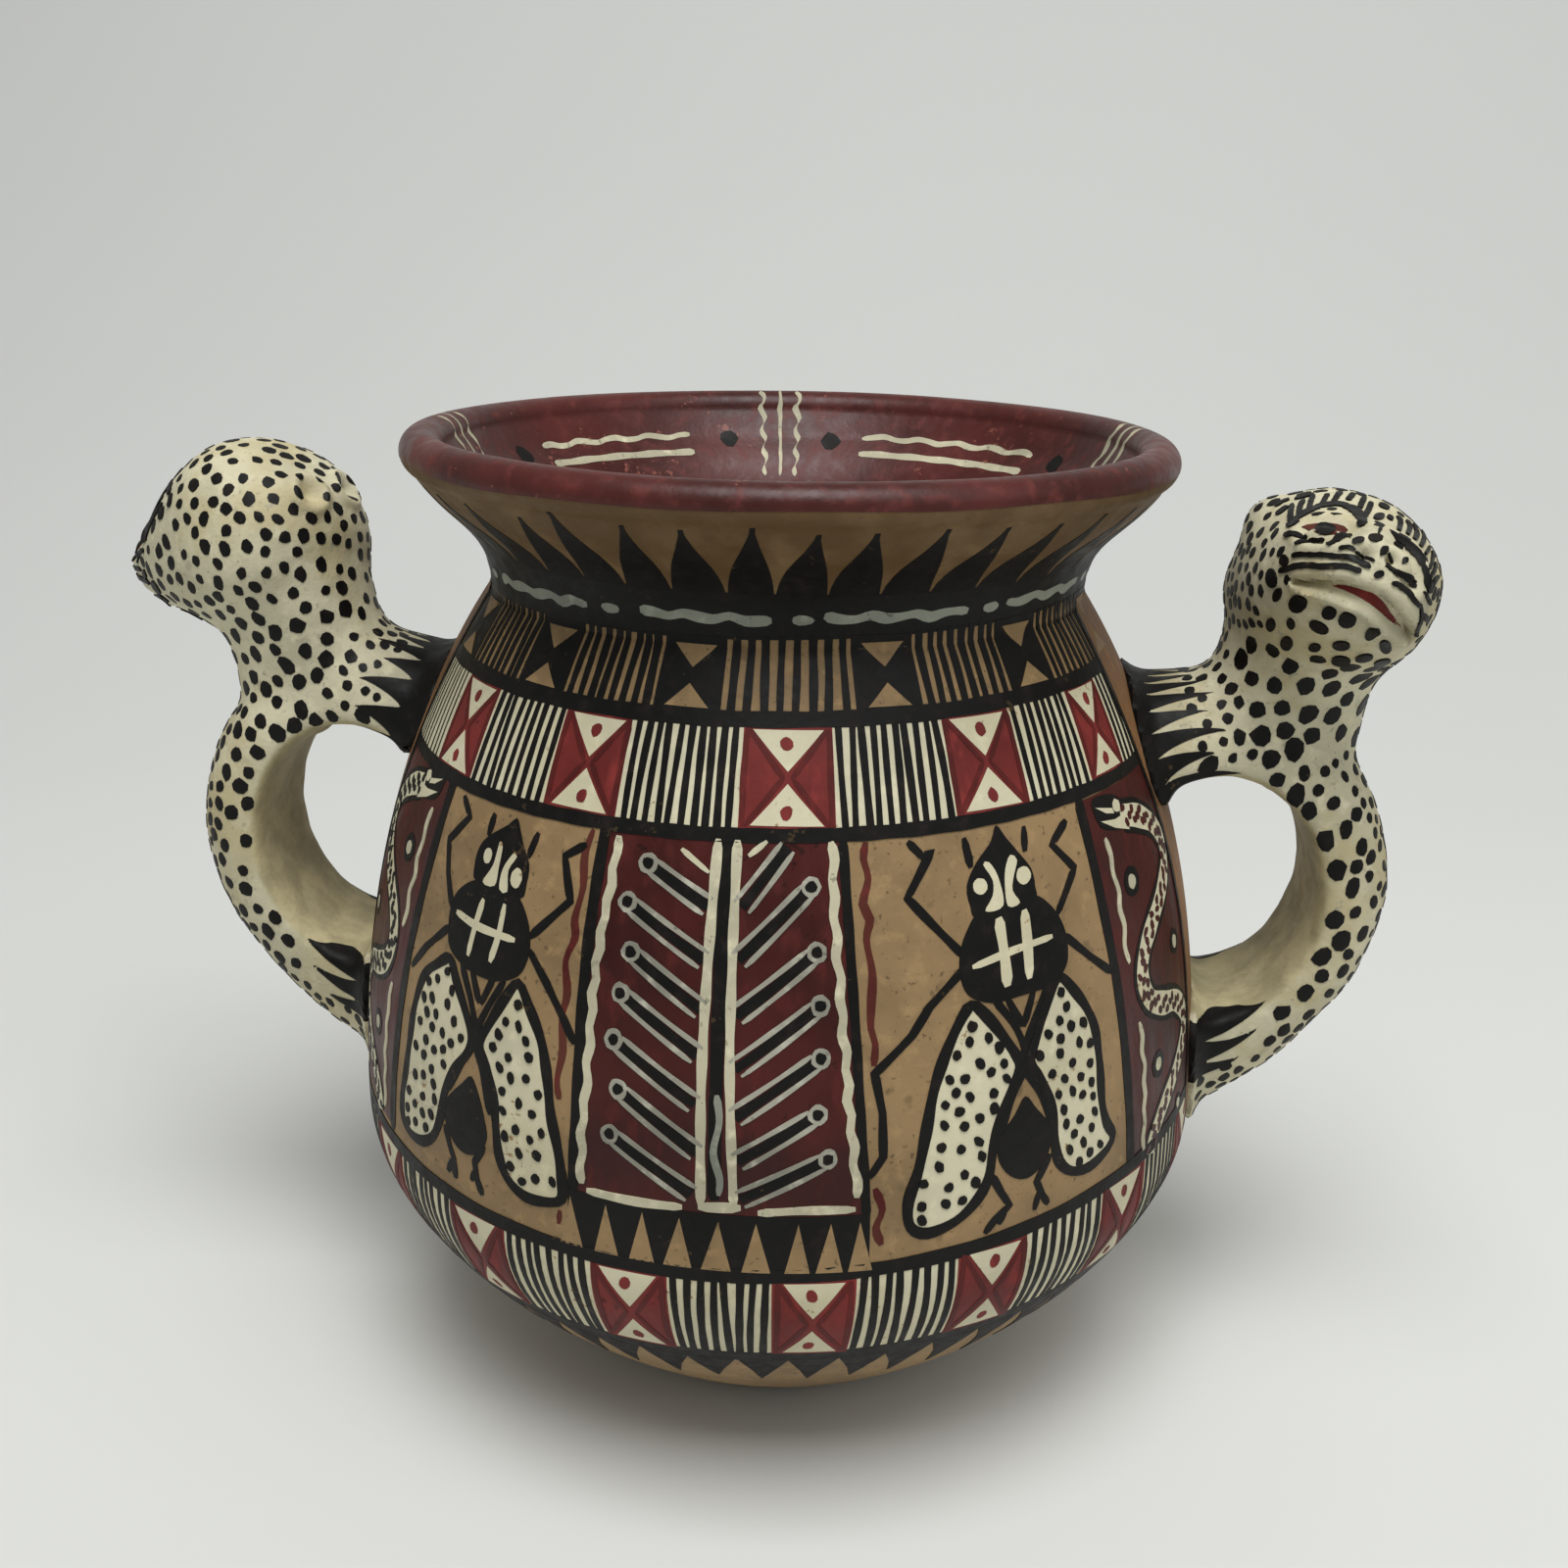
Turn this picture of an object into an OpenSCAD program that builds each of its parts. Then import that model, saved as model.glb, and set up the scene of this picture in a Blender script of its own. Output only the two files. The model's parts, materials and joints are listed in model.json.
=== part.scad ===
// Pottery vase with two loop handles, each rising into a spotted animal head.
// Thrown and coiled body, modelled handles and heads, fired as one piece of clay.
// Millimetres. X runs through the two handles, Z is up, the origin is the
// middle of the flat foot.

/* [Body] */
// Largest diameter, at the belly
belly_d = 130; // [118:1:150]
// Height of the belly above the foot
belly_z = 41.3; // [38:0.5:48]
// Diameter of the flat foot
foot_d = 61.8; // [52:1:74]
// Smallest outside diameter, at the neck
neck_d = 87; // [80:1:92]
// Drop from the middle of the lip down to the neck
neck_drop = 19.2; // [15:0.2:24]
// Diameter measured through the middle of the round lip
mouth_d = 104.6; // [98:1:112]
// Height of the middle of the lip
mouth_z = 138.5; // [134:0.5:146]
// Thickness of the round lip
lip_t = 6.4; // [6:0.1:8]
// Thickness of the side wall
wall_t = 5; // [4.2:0.1:5.6]
// Thickness of the floor
floor_t = 6.5; // [5:0.5:9]

/* [Handles] */
// Width of the strap
strap_w = 23; // [19:0.5:26]
// Thickness of the strap at its middle
strap_t = 12; // [10:0.5:14]
// Clear width of the finger gap beside the belly
gap_w = 15; // [13:0.5:17]
// Clear height of the finger gap
gap_h = 36; // [32:0.5:40]
// Drop from the middle of the lip down to the middle of the finger gap
gap_drop = 62.5; // [60:0.5:66]
// Extra thickness where the strap runs out on the belly
root_flare = 8; // [6:0.5:12]
// Extra thickness where the right arm meets the shoulder
arm_flare_right = 6; // [4:0.5:9]
// Extra thickness where the left arm meets the shoulder
arm_flare_left = 3; // [2:0.5:9]
// How much higher the left handle sits than the right
left_rise = 2; // [0:0.5:3]

/* [Heads] */
// Width of the skull
skull_w = 27.5; // [26:0.5:33]
// Height of the skull from jaw to crown
skull_h = 27.5; // [25:0.5:31]
// Length of the head from its back to the tip of the snout
head_l = 42; // [38:0.5:46]
// Rise from the top of the finger gap up to the middle of the skull
head_rise = 26; // [24:0.5:29]
// Thickness of the neck under the head
nape_w = 23; // [20:0.5:25]
// Turn of the right head away from the handle, in degrees
turn_right = 88; // [40:1:90]
// Turn of the left head away from the handle, in degrees
turn_left = 24; // [0:1:60]
// Lift of the right snout, in degrees
lift_right = 18; // [-20:1:25]
// Lift of the left snout, in degrees
lift_left = -13; // [-20:1:25]
// Tilt of the right head to its left, in degrees
tilt_right = 18; // [0:1:25]
// Tilt of the left head to its left, in degrees
tilt_left = 0; // [-10:1:25]

/* [Hidden] */
turn_facets = 144;
clay = [0.82, 0.78, 0.66];

// Points on one cubic curve, the last one left for the next curve
function curve_point(p, t) =
    pow(1 - t, 3) * p[0] + 3 * pow(1 - t, 2) * t * p[1]
    + 3 * (1 - t) * t * t * p[2] + t * t * t * p[3];
function curve(p, steps) = [for (i = [0 : steps - 1]) curve_point(p, i / steps)];

// Outside of the body, as three curves and the round lip
belly_r = belly_d / 2;
foot_r = foot_d / 2;
neck_r = neck_d / 2;
neck_z = mouth_z - neck_drop;
lip_r = lip_t / 2;
foot_round = 11;
foot_rise = 7.6;
belly_below = 15;
belly_above = 50.5;
neck_ease = 0.5;
neck_hold = 9;
flare_len = 8;
flare_angle = 57;
lip_tuck = 28;
lip_step = 22;
lip_mid = [mouth_d / 2, mouth_z];
lip_start = lip_mid + lip_r * [sin(lip_tuck), -cos(lip_tuck)];
low_side = [[foot_r, 0], [foot_r + foot_round, foot_rise],
            [belly_r, belly_z - belly_below], [belly_r, belly_z]];
high_side = [[belly_r, belly_z], [belly_r, belly_z + belly_above],
             [neck_r, neck_z - neck_ease], [neck_r, neck_z]];
mouth_side = [[neck_r, neck_z], [neck_r, neck_z + neck_hold],
              lip_start - flare_len * [cos(flare_angle), sin(flare_angle)], lip_start];
outside = concat(curve(low_side, 10), curve(high_side, 14), curve(mouth_side, 8));
lip_turn = [for (a = [lip_tuck - 90 : lip_step : 180]) lip_mid + lip_r * [cos(a), sin(a)]];

// Inside of the body, one wall thickness in from the outside.
// The ranges leave out the ends of each curve, where two curves meet
nudge = 0.01;
function inward(c, t) =
    let (d = curve_point(c, t + nudge) - curve_point(c, t - nudge))
    curve_point(c, t) + wall_t * [-d[1], d[0]] / norm(d);
floor_spread = 1;
floor_edge = foot_r + floor_spread;
inside_low = [for (t = [0.3 : 0.12 : 0.91]) inward(low_side, t)];
inside_high = [for (t = [0.03 : 0.0776 : 0.97]) inward(high_side, t)];
inside_mouth = [for (t = [0.04 : 0.15 : 0.8]) inward(mouth_side, t)];

module body_outside() {
    rotate_extrude($fn = turn_facets)
        polygon(concat([[0, 0]], outside, lip_turn, [[0, mouth_z]]));
}

// The hollow, cut down from above the lip
module hollow() {
    lip_in = [for (a = [180 : -lip_step : 90]) lip_mid + lip_r * [cos(a), sin(a)]];
    rotate_extrude($fn = turn_facets)
        polygon(concat([[0, floor_t], [floor_edge, floor_t]],
                       inside_low, inside_high, inside_mouth, lip_in,
                       [[mouth_d / 2, mouth_z + lip_t], [0, mouth_z + lip_t]]));
}

// A closed skin over a list of rings that all have the same number of points
module skin(rings) {
    n = len(rings[0]);
    m = len(rings);
    side = [for (k = [0 : m - 2], i = [0 : n - 1])
            let (a = k * n + i, b = k * n + (i + 1) % n)
            each [[a, b + n, b], [a, a + n, b + n]]];
    first = [[for (i = [0 : n - 1]) i]];
    last = [[for (i = [n - 1 : -1 : 0]) (m - 1) * n + i]];
    polyhedron([for (r = rings) each r], concat(first, side, last));
}

function power(v, e) = sign(v) * pow(abs(v), e);

// The strap, flat toward the fingers and rounded on the back. Angles run around
// the finger gap from the belly root, below, to the arm on the shoulder
ring_facets = 24;
gap_inset = 0.5;
gap_mid = [belly_r - gap_inset, mouth_z - gap_drop];
gap_top = gap_mid[1] + gap_h / 2;
root_turn = [-40, -90];
arm_turn = [60, 125];
root_spread = 2;
arm_spread = 2.5;
strap_turn = [-116 : 10 : 154];
inner_core = 0.22;
inner_square = 0.5;
back_round = [0.85, 0.95];
function rise(t, turn) = pow(max(0, (t - turn[0]) / (turn[1] - turn[0])), 2);
function strap_depth(t, flare) = strap_t + root_flare * rise(t, root_turn)
    + flare * rise(min(t, arm_turn[1]), arm_turn);
function strap_half(t) = strap_w / 2 + root_spread * rise(t, root_turn)
    + arm_spread * rise(min(t, arm_turn[1]), arm_turn);
function strap_ring(t, flare) =
    let (inner = gap_mid + [gap_w * cos(t), gap_h / 2 * sin(t)],
         out = [cos(t) / gap_w, 2 * sin(t) / gap_h],
         dir = out / norm(out))
    [for (i = [0 : ring_facets - 1])
        let (a = 360 * i / ring_facets,
             inside = sin(a) < 0,
             across = -strap_half(t) * power(cos(a), inside ? inner_square : back_round[0]),
             up = inside ? inner_core * (1 - pow(-sin(a), inner_square))
                         : inner_core + (1 - inner_core) * pow(sin(a), back_round[1]),
             p = inner + dir * strap_depth(t, flare) * up)
        [p[0], across, p[1]]];

module strap(flare) {
    skin([for (t = strap_turn) strap_ring(t, flare)]);
}

// The nape, standing on the strap and running up into the head
nape_inset = 5;
nape_x = gap_mid[0] + gap_w - nape_inset;
function flat_ring(x, z, rx, ry) =
    [for (i = [0 : ring_facets - 1])
        let (a = 360 * i / ring_facets) [x + rx * cos(a), ry * sin(a), z]];
// Height above the gap, shift along the handle, half length, half width
nape_rings = [[-4, 4.5, 0.62, 0.6], [3, 0.6, 0.86, 0.84], [6, -2.4, 1.15, 0.88],
              [8, -3.2, 1.25, 0.9], [10, -2.3, 1.16, 0.92], [12, -1.3, 1.08, 0.94],
              [14, -0.5, 1.03, 0.97], [17, 0.8, 1.05, 1.02], [20, 2, 1.09, 1.07],
              [24, 2.8, 1.08, 1.1], [28, 3, 1, 1]];
module nape() {
    skin([for (r = nape_rings)
          flat_ring(nape_x + r[1], gap_top + r[0], nape_w / 2 * r[2], nape_w / 2 * r[3])]);
}

// The head, as rings from the back of the skull to the snout.
// Each row is place along the head, crown and jaw from the axis, half width
head_rings = [[0.02, 0.16, 0.02, 0.12], [0.05, 0.46, 0.32, 0.5], [0.12, 0.71, 0.66, 0.78],
              [0.21, 0.92, 0.86, 0.95], [0.32, 1.06, 0.95, 1], [0.44, 1.09, 0.94, 1],
              [0.56, 0.97, 0.86, 0.95], [0.67, 0.77, 0.76, 0.88], [0.78, 0.6, 0.64, 0.77],
              [0.88, 0.43, 0.5, 0.62], [0.95, 0.3, 0.36, 0.45], [0.99, 0.14, 0.18, 0.22]];
head_reach = 3;
skull_share = 0.32;
skull_back = skull_share * head_l;
skull_round = 0.9;
function head_ring(r, n) =
    [for (i = [0 : n - 1])
        let (a = 360 * i / n,
             z = skull_h / 2 * power(sin(a), skull_round) * (sin(a) > 0 ? r[1] : r[2]))
        [r[0] * head_l - skull_back, r[3] * skull_w / 2 * power(cos(a), skull_round), z]];

// A small egg with its own radius along each axis, for hollows and bumps
egg_facets = 12;
egg_turn = [-84 : 24 : 84];
module egg(r) {
    skin([for (a = egg_turn)
          [for (i = [0 : egg_facets - 1])
           let (b = 360 * i / egg_facets)
           [r[0] * cos(a) * cos(b), r[1] * cos(a) * sin(b), r[2] * sin(a)]]]);
}

// Face and ears, in the head's own frame, mirrored to both sides
eye_at = [21.2, 6.6, 4.4];
eye_turn = 48;
eye_size = [2.6, 4.4, 2.5];
eyeball_size = [1.6, 3, 1.5];
eyeball_sink = 1.4;
nostril_at = [0.655 * head_l, 2.6, 1.8];
nostril_r = 1.1;
mouth_at = [24, 0, -4.6];
mouth_size = [6, 12.7, 1.8];
mouth_floor = 0.9;
throat = [8, 0, -2];
ear_at = [-9.2, 4.6, 5.3];
ear_size = [2.4, 3, 2.6];
ear_hollow = 1.7;
ear_hollow_at = ear_at + [-2.1, 0.6, 0.8];

module both_sides() {
    children();
    mirror([0, 1, 0])
        children();
}

// The mouth, a lens that goes only a short way into the snout
module mouth() {
    difference() {
        translate(mouth_at)
            egg(mouth_size);
        skin([for (r = head_rings)
              [for (p = head_ring(r, egg_facets)) throat + mouth_floor * (p - throat)]]);
    }
}

module head_form() {
    difference() {
        union() {
            skin([for (r = head_rings) head_ring(r, ring_facets)]);
            both_sides()
                translate(ear_at)
                    egg(ear_size);
        }
        both_sides() {
            translate(eye_at)
                rotate([0, 0, eye_turn])
                    egg(eye_size);
            translate(nostril_at)
                egg([nostril_r, nostril_r, nostril_r]);
            translate(ear_hollow_at)
                egg([ear_hollow, ear_hollow, ear_hollow]);
        }
        mouth();
    }
    both_sides()
        translate(eye_at)
            rotate([0, 0, eye_turn])
                translate([-eyeball_sink, 0, 0])
                    egg(eyeball_size);
}

module head(turn, lift, tilt) {
    translate([nape_x + head_reach, 0, gap_top + head_rise])
        rotate([0, 0, -turn])
            rotate([-tilt, -lift, 0])
                head_form();
}

module handle(flare, turn, lift, tilt) {
    strap(flare);
    nape();
    head(turn, lift, tilt);
}

module vase() {
    color(clay)
        difference() {
            union() {
                body_outside();
                handle(arm_flare_right, turn_right, lift_right, tilt_right);
                translate([0, 0, left_rise])
                    rotate([0, 0, 180])
                        handle(arm_flare_left, turn_left, lift_left, tilt_left);
            }
            hollow();
        }
}

vase();
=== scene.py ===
"""Painted pottery vase with two loop handles that end in spotted animal heads.

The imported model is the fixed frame. Everything here is made in mesh code in the
same frame: lengths are worked out in millimetres and stored in metres. A place
on the wall is (a, s): a is the angle round the vase in degrees, 0 at the front
and growing to the right, and s is the distance up the outline from the foot, in
millimetres, which goes on over the lip and down the inside.
"""
import json
import math
import random

import bpy
import numpy as np
from bpy.props import FloatProperty, FloatVectorProperty, PointerProperty
from mathutils import Matrix, Vector
from mathutils.bvhtree import BVHTree
from mathutils.geometry import delaunay_2d_cdt

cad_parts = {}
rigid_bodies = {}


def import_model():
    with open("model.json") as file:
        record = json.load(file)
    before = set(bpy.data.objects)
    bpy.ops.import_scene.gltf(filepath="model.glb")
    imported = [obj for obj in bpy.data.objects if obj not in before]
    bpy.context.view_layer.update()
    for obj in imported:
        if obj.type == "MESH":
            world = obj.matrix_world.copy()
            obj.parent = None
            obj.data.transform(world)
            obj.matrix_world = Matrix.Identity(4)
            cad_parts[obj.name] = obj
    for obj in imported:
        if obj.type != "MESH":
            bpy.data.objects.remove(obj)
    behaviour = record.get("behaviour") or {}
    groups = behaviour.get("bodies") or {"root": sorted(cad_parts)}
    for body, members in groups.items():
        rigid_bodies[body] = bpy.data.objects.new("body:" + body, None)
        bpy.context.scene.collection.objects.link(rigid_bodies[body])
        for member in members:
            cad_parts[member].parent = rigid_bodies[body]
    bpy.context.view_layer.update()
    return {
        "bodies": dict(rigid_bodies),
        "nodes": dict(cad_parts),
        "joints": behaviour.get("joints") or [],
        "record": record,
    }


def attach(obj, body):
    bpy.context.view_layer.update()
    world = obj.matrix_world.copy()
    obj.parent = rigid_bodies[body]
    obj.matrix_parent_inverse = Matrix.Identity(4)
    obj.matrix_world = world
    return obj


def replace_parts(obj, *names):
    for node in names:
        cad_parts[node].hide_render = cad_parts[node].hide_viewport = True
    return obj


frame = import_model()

bl_info = {
    "name": "Painted Handle Vase",
    "version": (1, 0, 0),
    "blender": (4, 5, 0),
    "location": "View3D > Sidebar > Vase",
    "description": "Builds a slip-painted pottery vase with two animal-head handles",
    "category": "Add Mesh",
}

BODY = "root"
MM = 0.001


def tone(red, green, blue):
    """A colour in plain 0 to 255 steps, as the linear values that sockets take"""
    def linear(step):
        share = step / 255
        return share / 12.92 if share <= 0.04045 else ((share + 0.055) / 1.055) ** 2.4
    return tuple(round(linear(step), 4) for step in (red, green, blue))


# ---- Sizes of the thrown wall, as in the part's own source, in millimetres ----
BELLY_R, BELLY_Z = 65.0, 41.3
FOOT_R, NECK_R = 30.9, 43.5
NECK_Z, MOUTH_R, MOUTH_Z = 119.3, 52.3, 138.5
LIP_R, WALL_T, FLOOR_T = 3.2, 5.0, 6.5
FOOT_ROUND, FOOT_RISE = 11.0, 7.6
BELLY_BELOW, BELLY_ABOVE = 15.0, 50.5
NECK_HOLD, FLARE_LEN, FLARE_ANGLE, LIP_TUCK = 9.0, 8.0, 57.0, 28.0


def on_curve(points, t):
    """Points on one cubic curve, for an array of t"""
    p = np.array(points, float)
    t = np.atleast_1d(t)[:, None]
    return ((1 - t) ** 3 * p[0] + 3 * (1 - t) ** 2 * t * p[1]
            + 3 * (1 - t) * t * t * p[2] + t ** 3 * p[3])


def wall_outline():
    """The whole outline from the foot corner, over the lip and down to the floor"""
    lip_mid = np.array([MOUTH_R, MOUTH_Z])
    tuck = math.radians(LIP_TUCK)
    flare = math.radians(FLARE_ANGLE)
    lip_start = lip_mid + LIP_R * np.array([math.sin(tuck), -math.cos(tuck)])
    before = lip_start - FLARE_LEN * np.array([math.cos(flare), math.sin(flare)])
    low = [(FOOT_R, 0), (FOOT_R + FOOT_ROUND, FOOT_RISE),
           (BELLY_R, BELLY_Z - BELLY_BELOW), (BELLY_R, BELLY_Z)]
    high = [(BELLY_R, BELLY_Z), (BELLY_R, BELLY_Z + BELLY_ABOVE),
            (NECK_R, NECK_Z - 0.5), (NECK_R, NECK_Z)]
    mouth = [(NECK_R, NECK_Z), (NECK_R, NECK_Z + NECK_HOLD), before, lip_start]

    def inward(curve, t):
        step = on_curve(curve, t + 0.001) - on_curve(curve, t - 0.001)
        side = np.stack([-step[:, 1], step[:, 0]], 1)
        return on_curve(curve, t) + WALL_T * side / np.linalg.norm(side, axis=1)[:, None]

    steps = np.linspace(0, 1, 60, endpoint=False)
    turn = np.radians(np.arange(LIP_TUCK - 90, 181, 6))
    lip = lip_mid + LIP_R * np.stack([np.cos(turn), np.sin(turn)], 1)
    inside = [inward(mouth, np.linspace(0.72, 0.02, 20)), inward(high, np.linspace(0.97, 0.03, 30)),
              inward(low, np.linspace(0.96, 0.3, 20)), [(FOOT_R + 1, FLOOR_T), (4.0, FLOOR_T)]]
    return np.vstack([on_curve(low, steps), on_curve(high, steps), on_curve(mouth, steps),
                      lip] + inside)


OUTLINE = wall_outline()
RUN = np.concatenate([[0], np.cumsum(np.linalg.norm(np.diff(OUTLINE, axis=0), axis=1))])
SLOPE = np.gradient(OUTLINE, RUN, axis=0)
FACING = np.stack([SLOPE[:, 1], -SLOPE[:, 0]], 1)
FACING /= np.linalg.norm(FACING, axis=1)[:, None]
S_FLOOR = float(RUN[-1])
S_LIP_START = 157.2
TURNS = 288


def hand_wobble(a, s):
    """How far the hand-made wall lies inside the true outline, in millimetres"""
    turn = np.radians(a)
    wave = (0.06 * np.sin(2 * turn + 0.7 + 0.02 * s) + 0.05 * np.sin(3 * turn - 0.045 * s)
            + 0.03 * np.sin(7 * turn + 0.11 * s))
    return np.clip(s / 6.0, 0, 1) * (wave - 0.34)


def wall_points(a, s, lift=0.0):
    """Places in metres for arrays of (a, s), lifted off the wall by so many mm"""
    a, s = np.asarray(a, float), np.asarray(s, float)
    r, z = np.interp(s, RUN, OUTLINE[:, 0]), np.interp(s, RUN, OUTLINE[:, 1])
    nr, nz = np.interp(s, RUN, FACING[:, 0]), np.interp(s, RUN, FACING[:, 1])
    off = lift + hand_wobble(a, s)
    r, z, turn = r + nr * off, z + nz * off, np.radians(a)
    return np.stack([r * np.sin(turn), -r * np.cos(turn), z], -1) * MM


def radius_at(s):
    """Radius of the wall at s, in millimetres"""
    return float(np.interp(s, RUN, OUTLINE[:, 0]))


# ---- Materials ----
def add_node(tree, kind, inputs=None, **settings):
    """A node with its settings, and its inputs linked or set"""
    made = tree.nodes.new(kind)
    for key, value in settings.items():
        setattr(made, key, value)
    for key, value in (inputs or {}).items():
        if isinstance(value, bpy.types.NodeSocket):
            tree.links.new(value, made.inputs[key])
        else:
            made.inputs[key].default_value = value
    return made


def noise(tree, place, scale, detail=3.0, rough=0.55):
    return add_node(tree, "ShaderNodeTexNoise",
                    {"Vector": place, "Scale": scale, "Detail": detail, "Roughness": rough}).outputs["Fac"]


def spread(tree, value, low, high, to_low=0.0, to_high=1.0):
    return add_node(tree, "ShaderNodeMapRange",
                    {"Value": value, "From Min": low, "From Max": high,
                     "To Min": to_low, "To Max": to_high}, interpolation_type="SMOOTHSTEP").outputs["Result"]


def blend_tone(tree, share, first, second):
    made = add_node(tree, "ShaderNodeMix", data_type="RGBA")
    for index, value in ((0, share), (6, first), (7, second)):
        if isinstance(value, bpy.types.NodeSocket):
            tree.links.new(value, made.inputs[index])
        else:
            made.inputs[index].default_value = value if index == 0 else (*value, 1.0)
    return made.outputs[2]


def calc(tree, how, first, second):
    return add_node(tree, "ShaderNodeMath", {0: first, 1: second}, operation=how).outputs[0]


def slip_material(name, main, deep, pale, rough, gloss=0.3, brush=(1.0, 1.0, 1.0), grit=0.25,
                  worn=None, wear=0.0, speck=0.0, attribute=None, painted_shade_above=None, stain=None):
    """Clay slip: clouds of tone, brush drag, fine grit, worn places, stains, specks and painted shade higher
    up
    """
    if name in bpy.data.materials:
        return bpy.data.materials[name]
    material = bpy.data.materials.new(name)
    material.use_nodes = True
    tree = material.node_tree
    tree.nodes.clear()
    place = add_node(tree, "ShaderNodeTexCoord").outputs["Object"]
    dragged = add_node(tree, "ShaderNodeMapping", {"Vector": place, "Scale": brush}).outputs["Vector"]
    cloud = noise(tree, place, 60.0, 4.0)
    drag = noise(tree, dragged, 420.0, 3.0)
    grain = noise(tree, place, 1500.0, 2.0, 0.7)
    colour = blend_tone(tree, spread(tree, cloud, 0.35, 0.68), main, deep)
    colour = blend_tone(tree, spread(tree, drag, 0.5, 0.75, 0.0, 0.75), colour, pale)
    if stain:
        blotch = spread(tree, noise(tree, place, 48.0, 6.0, 0.68), 0.44, 0.62, 0.0, stain[0])
        colour = blend_tone(tree, blotch, colour, stain[1])
    if speck:
        dark = tuple(0.35 * part for part in deep)
        spots = noise(tree, place, 1100.0, 2.0, 0.6)
        colour = blend_tone(tree, spread(tree, spots, 0.62, 0.74, 0.0, speck), colour, dark)
        pits = noise(tree, place, 260.0, 2.0, 0.5)
        colour = blend_tone(tree, spread(tree, pits, 0.66, 0.76, 0.0, 0.6 * speck), colour, dark)
    if worn:
        rub = calc(tree, "MULTIPLY", noise(tree, place, 95.0, 8.0, 0.68), noise(tree, place, 900.0, 3.0, 0.6))
        colour = blend_tone(tree, spread(tree, rub, 0.37 - wear, 0.42 - wear), colour, worn)
    # Painted shade: the colour darkens above a given height, standing in for the shadow under the lip
    if painted_shade_above:
        height = add_node(tree, "ShaderNodeSeparateXYZ", {"Vector": place}).outputs["Z"]
        share = calc(tree, "MULTIPLY", spread(tree, height, painted_shade_above[0], painted_shade_above[1]),
                     spread(tree, noise(tree, place, 130.0, 4.0), 0.25, 0.6, 0.55, 0.95))
        colour = blend_tone(tree, share, colour, painted_shade_above[2])
    if attribute:
        side = add_node(tree, "ShaderNodeAttribute", attribute_name=attribute[0]).outputs["Fac"]
        mottled = blend_tone(tree, spread(tree, noise(tree, place, 150.0, 5.0, 0.65), 0.35, 0.65),
                             attribute[1], tuple(0.68 * part for part in attribute[1]))
        colour = blend_tone(tree, side, colour, mottled)
    height = calc(tree, "ADD", calc(tree, "MULTIPLY", grain, grit), drag)
    bump = add_node(tree, "ShaderNodeBump", {"Height": height, "Strength": 0.35, "Distance": 0.00025})
    shader = add_node(tree, "ShaderNodeBsdfPrincipled", {
        "Base Color": colour, "Normal": bump.outputs["Normal"],
        "Roughness": spread(tree, drag, 0.25, 0.8, rough - 0.07, rough + 0.12)})
    shader.inputs["Specular IOR Level"].default_value = gloss
    add_node(tree, "ShaderNodeOutputMaterial", {"Surface": shader.outputs["BSDF"]})
    return material


def shade(colour, *shares):
    """A colour times one share, or times a share for each of its parts"""
    shares = shares if len(shares) == 3 else shares * 3
    return tuple(min(1.0, part * share) for part, share in zip(colour, shares))


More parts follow.
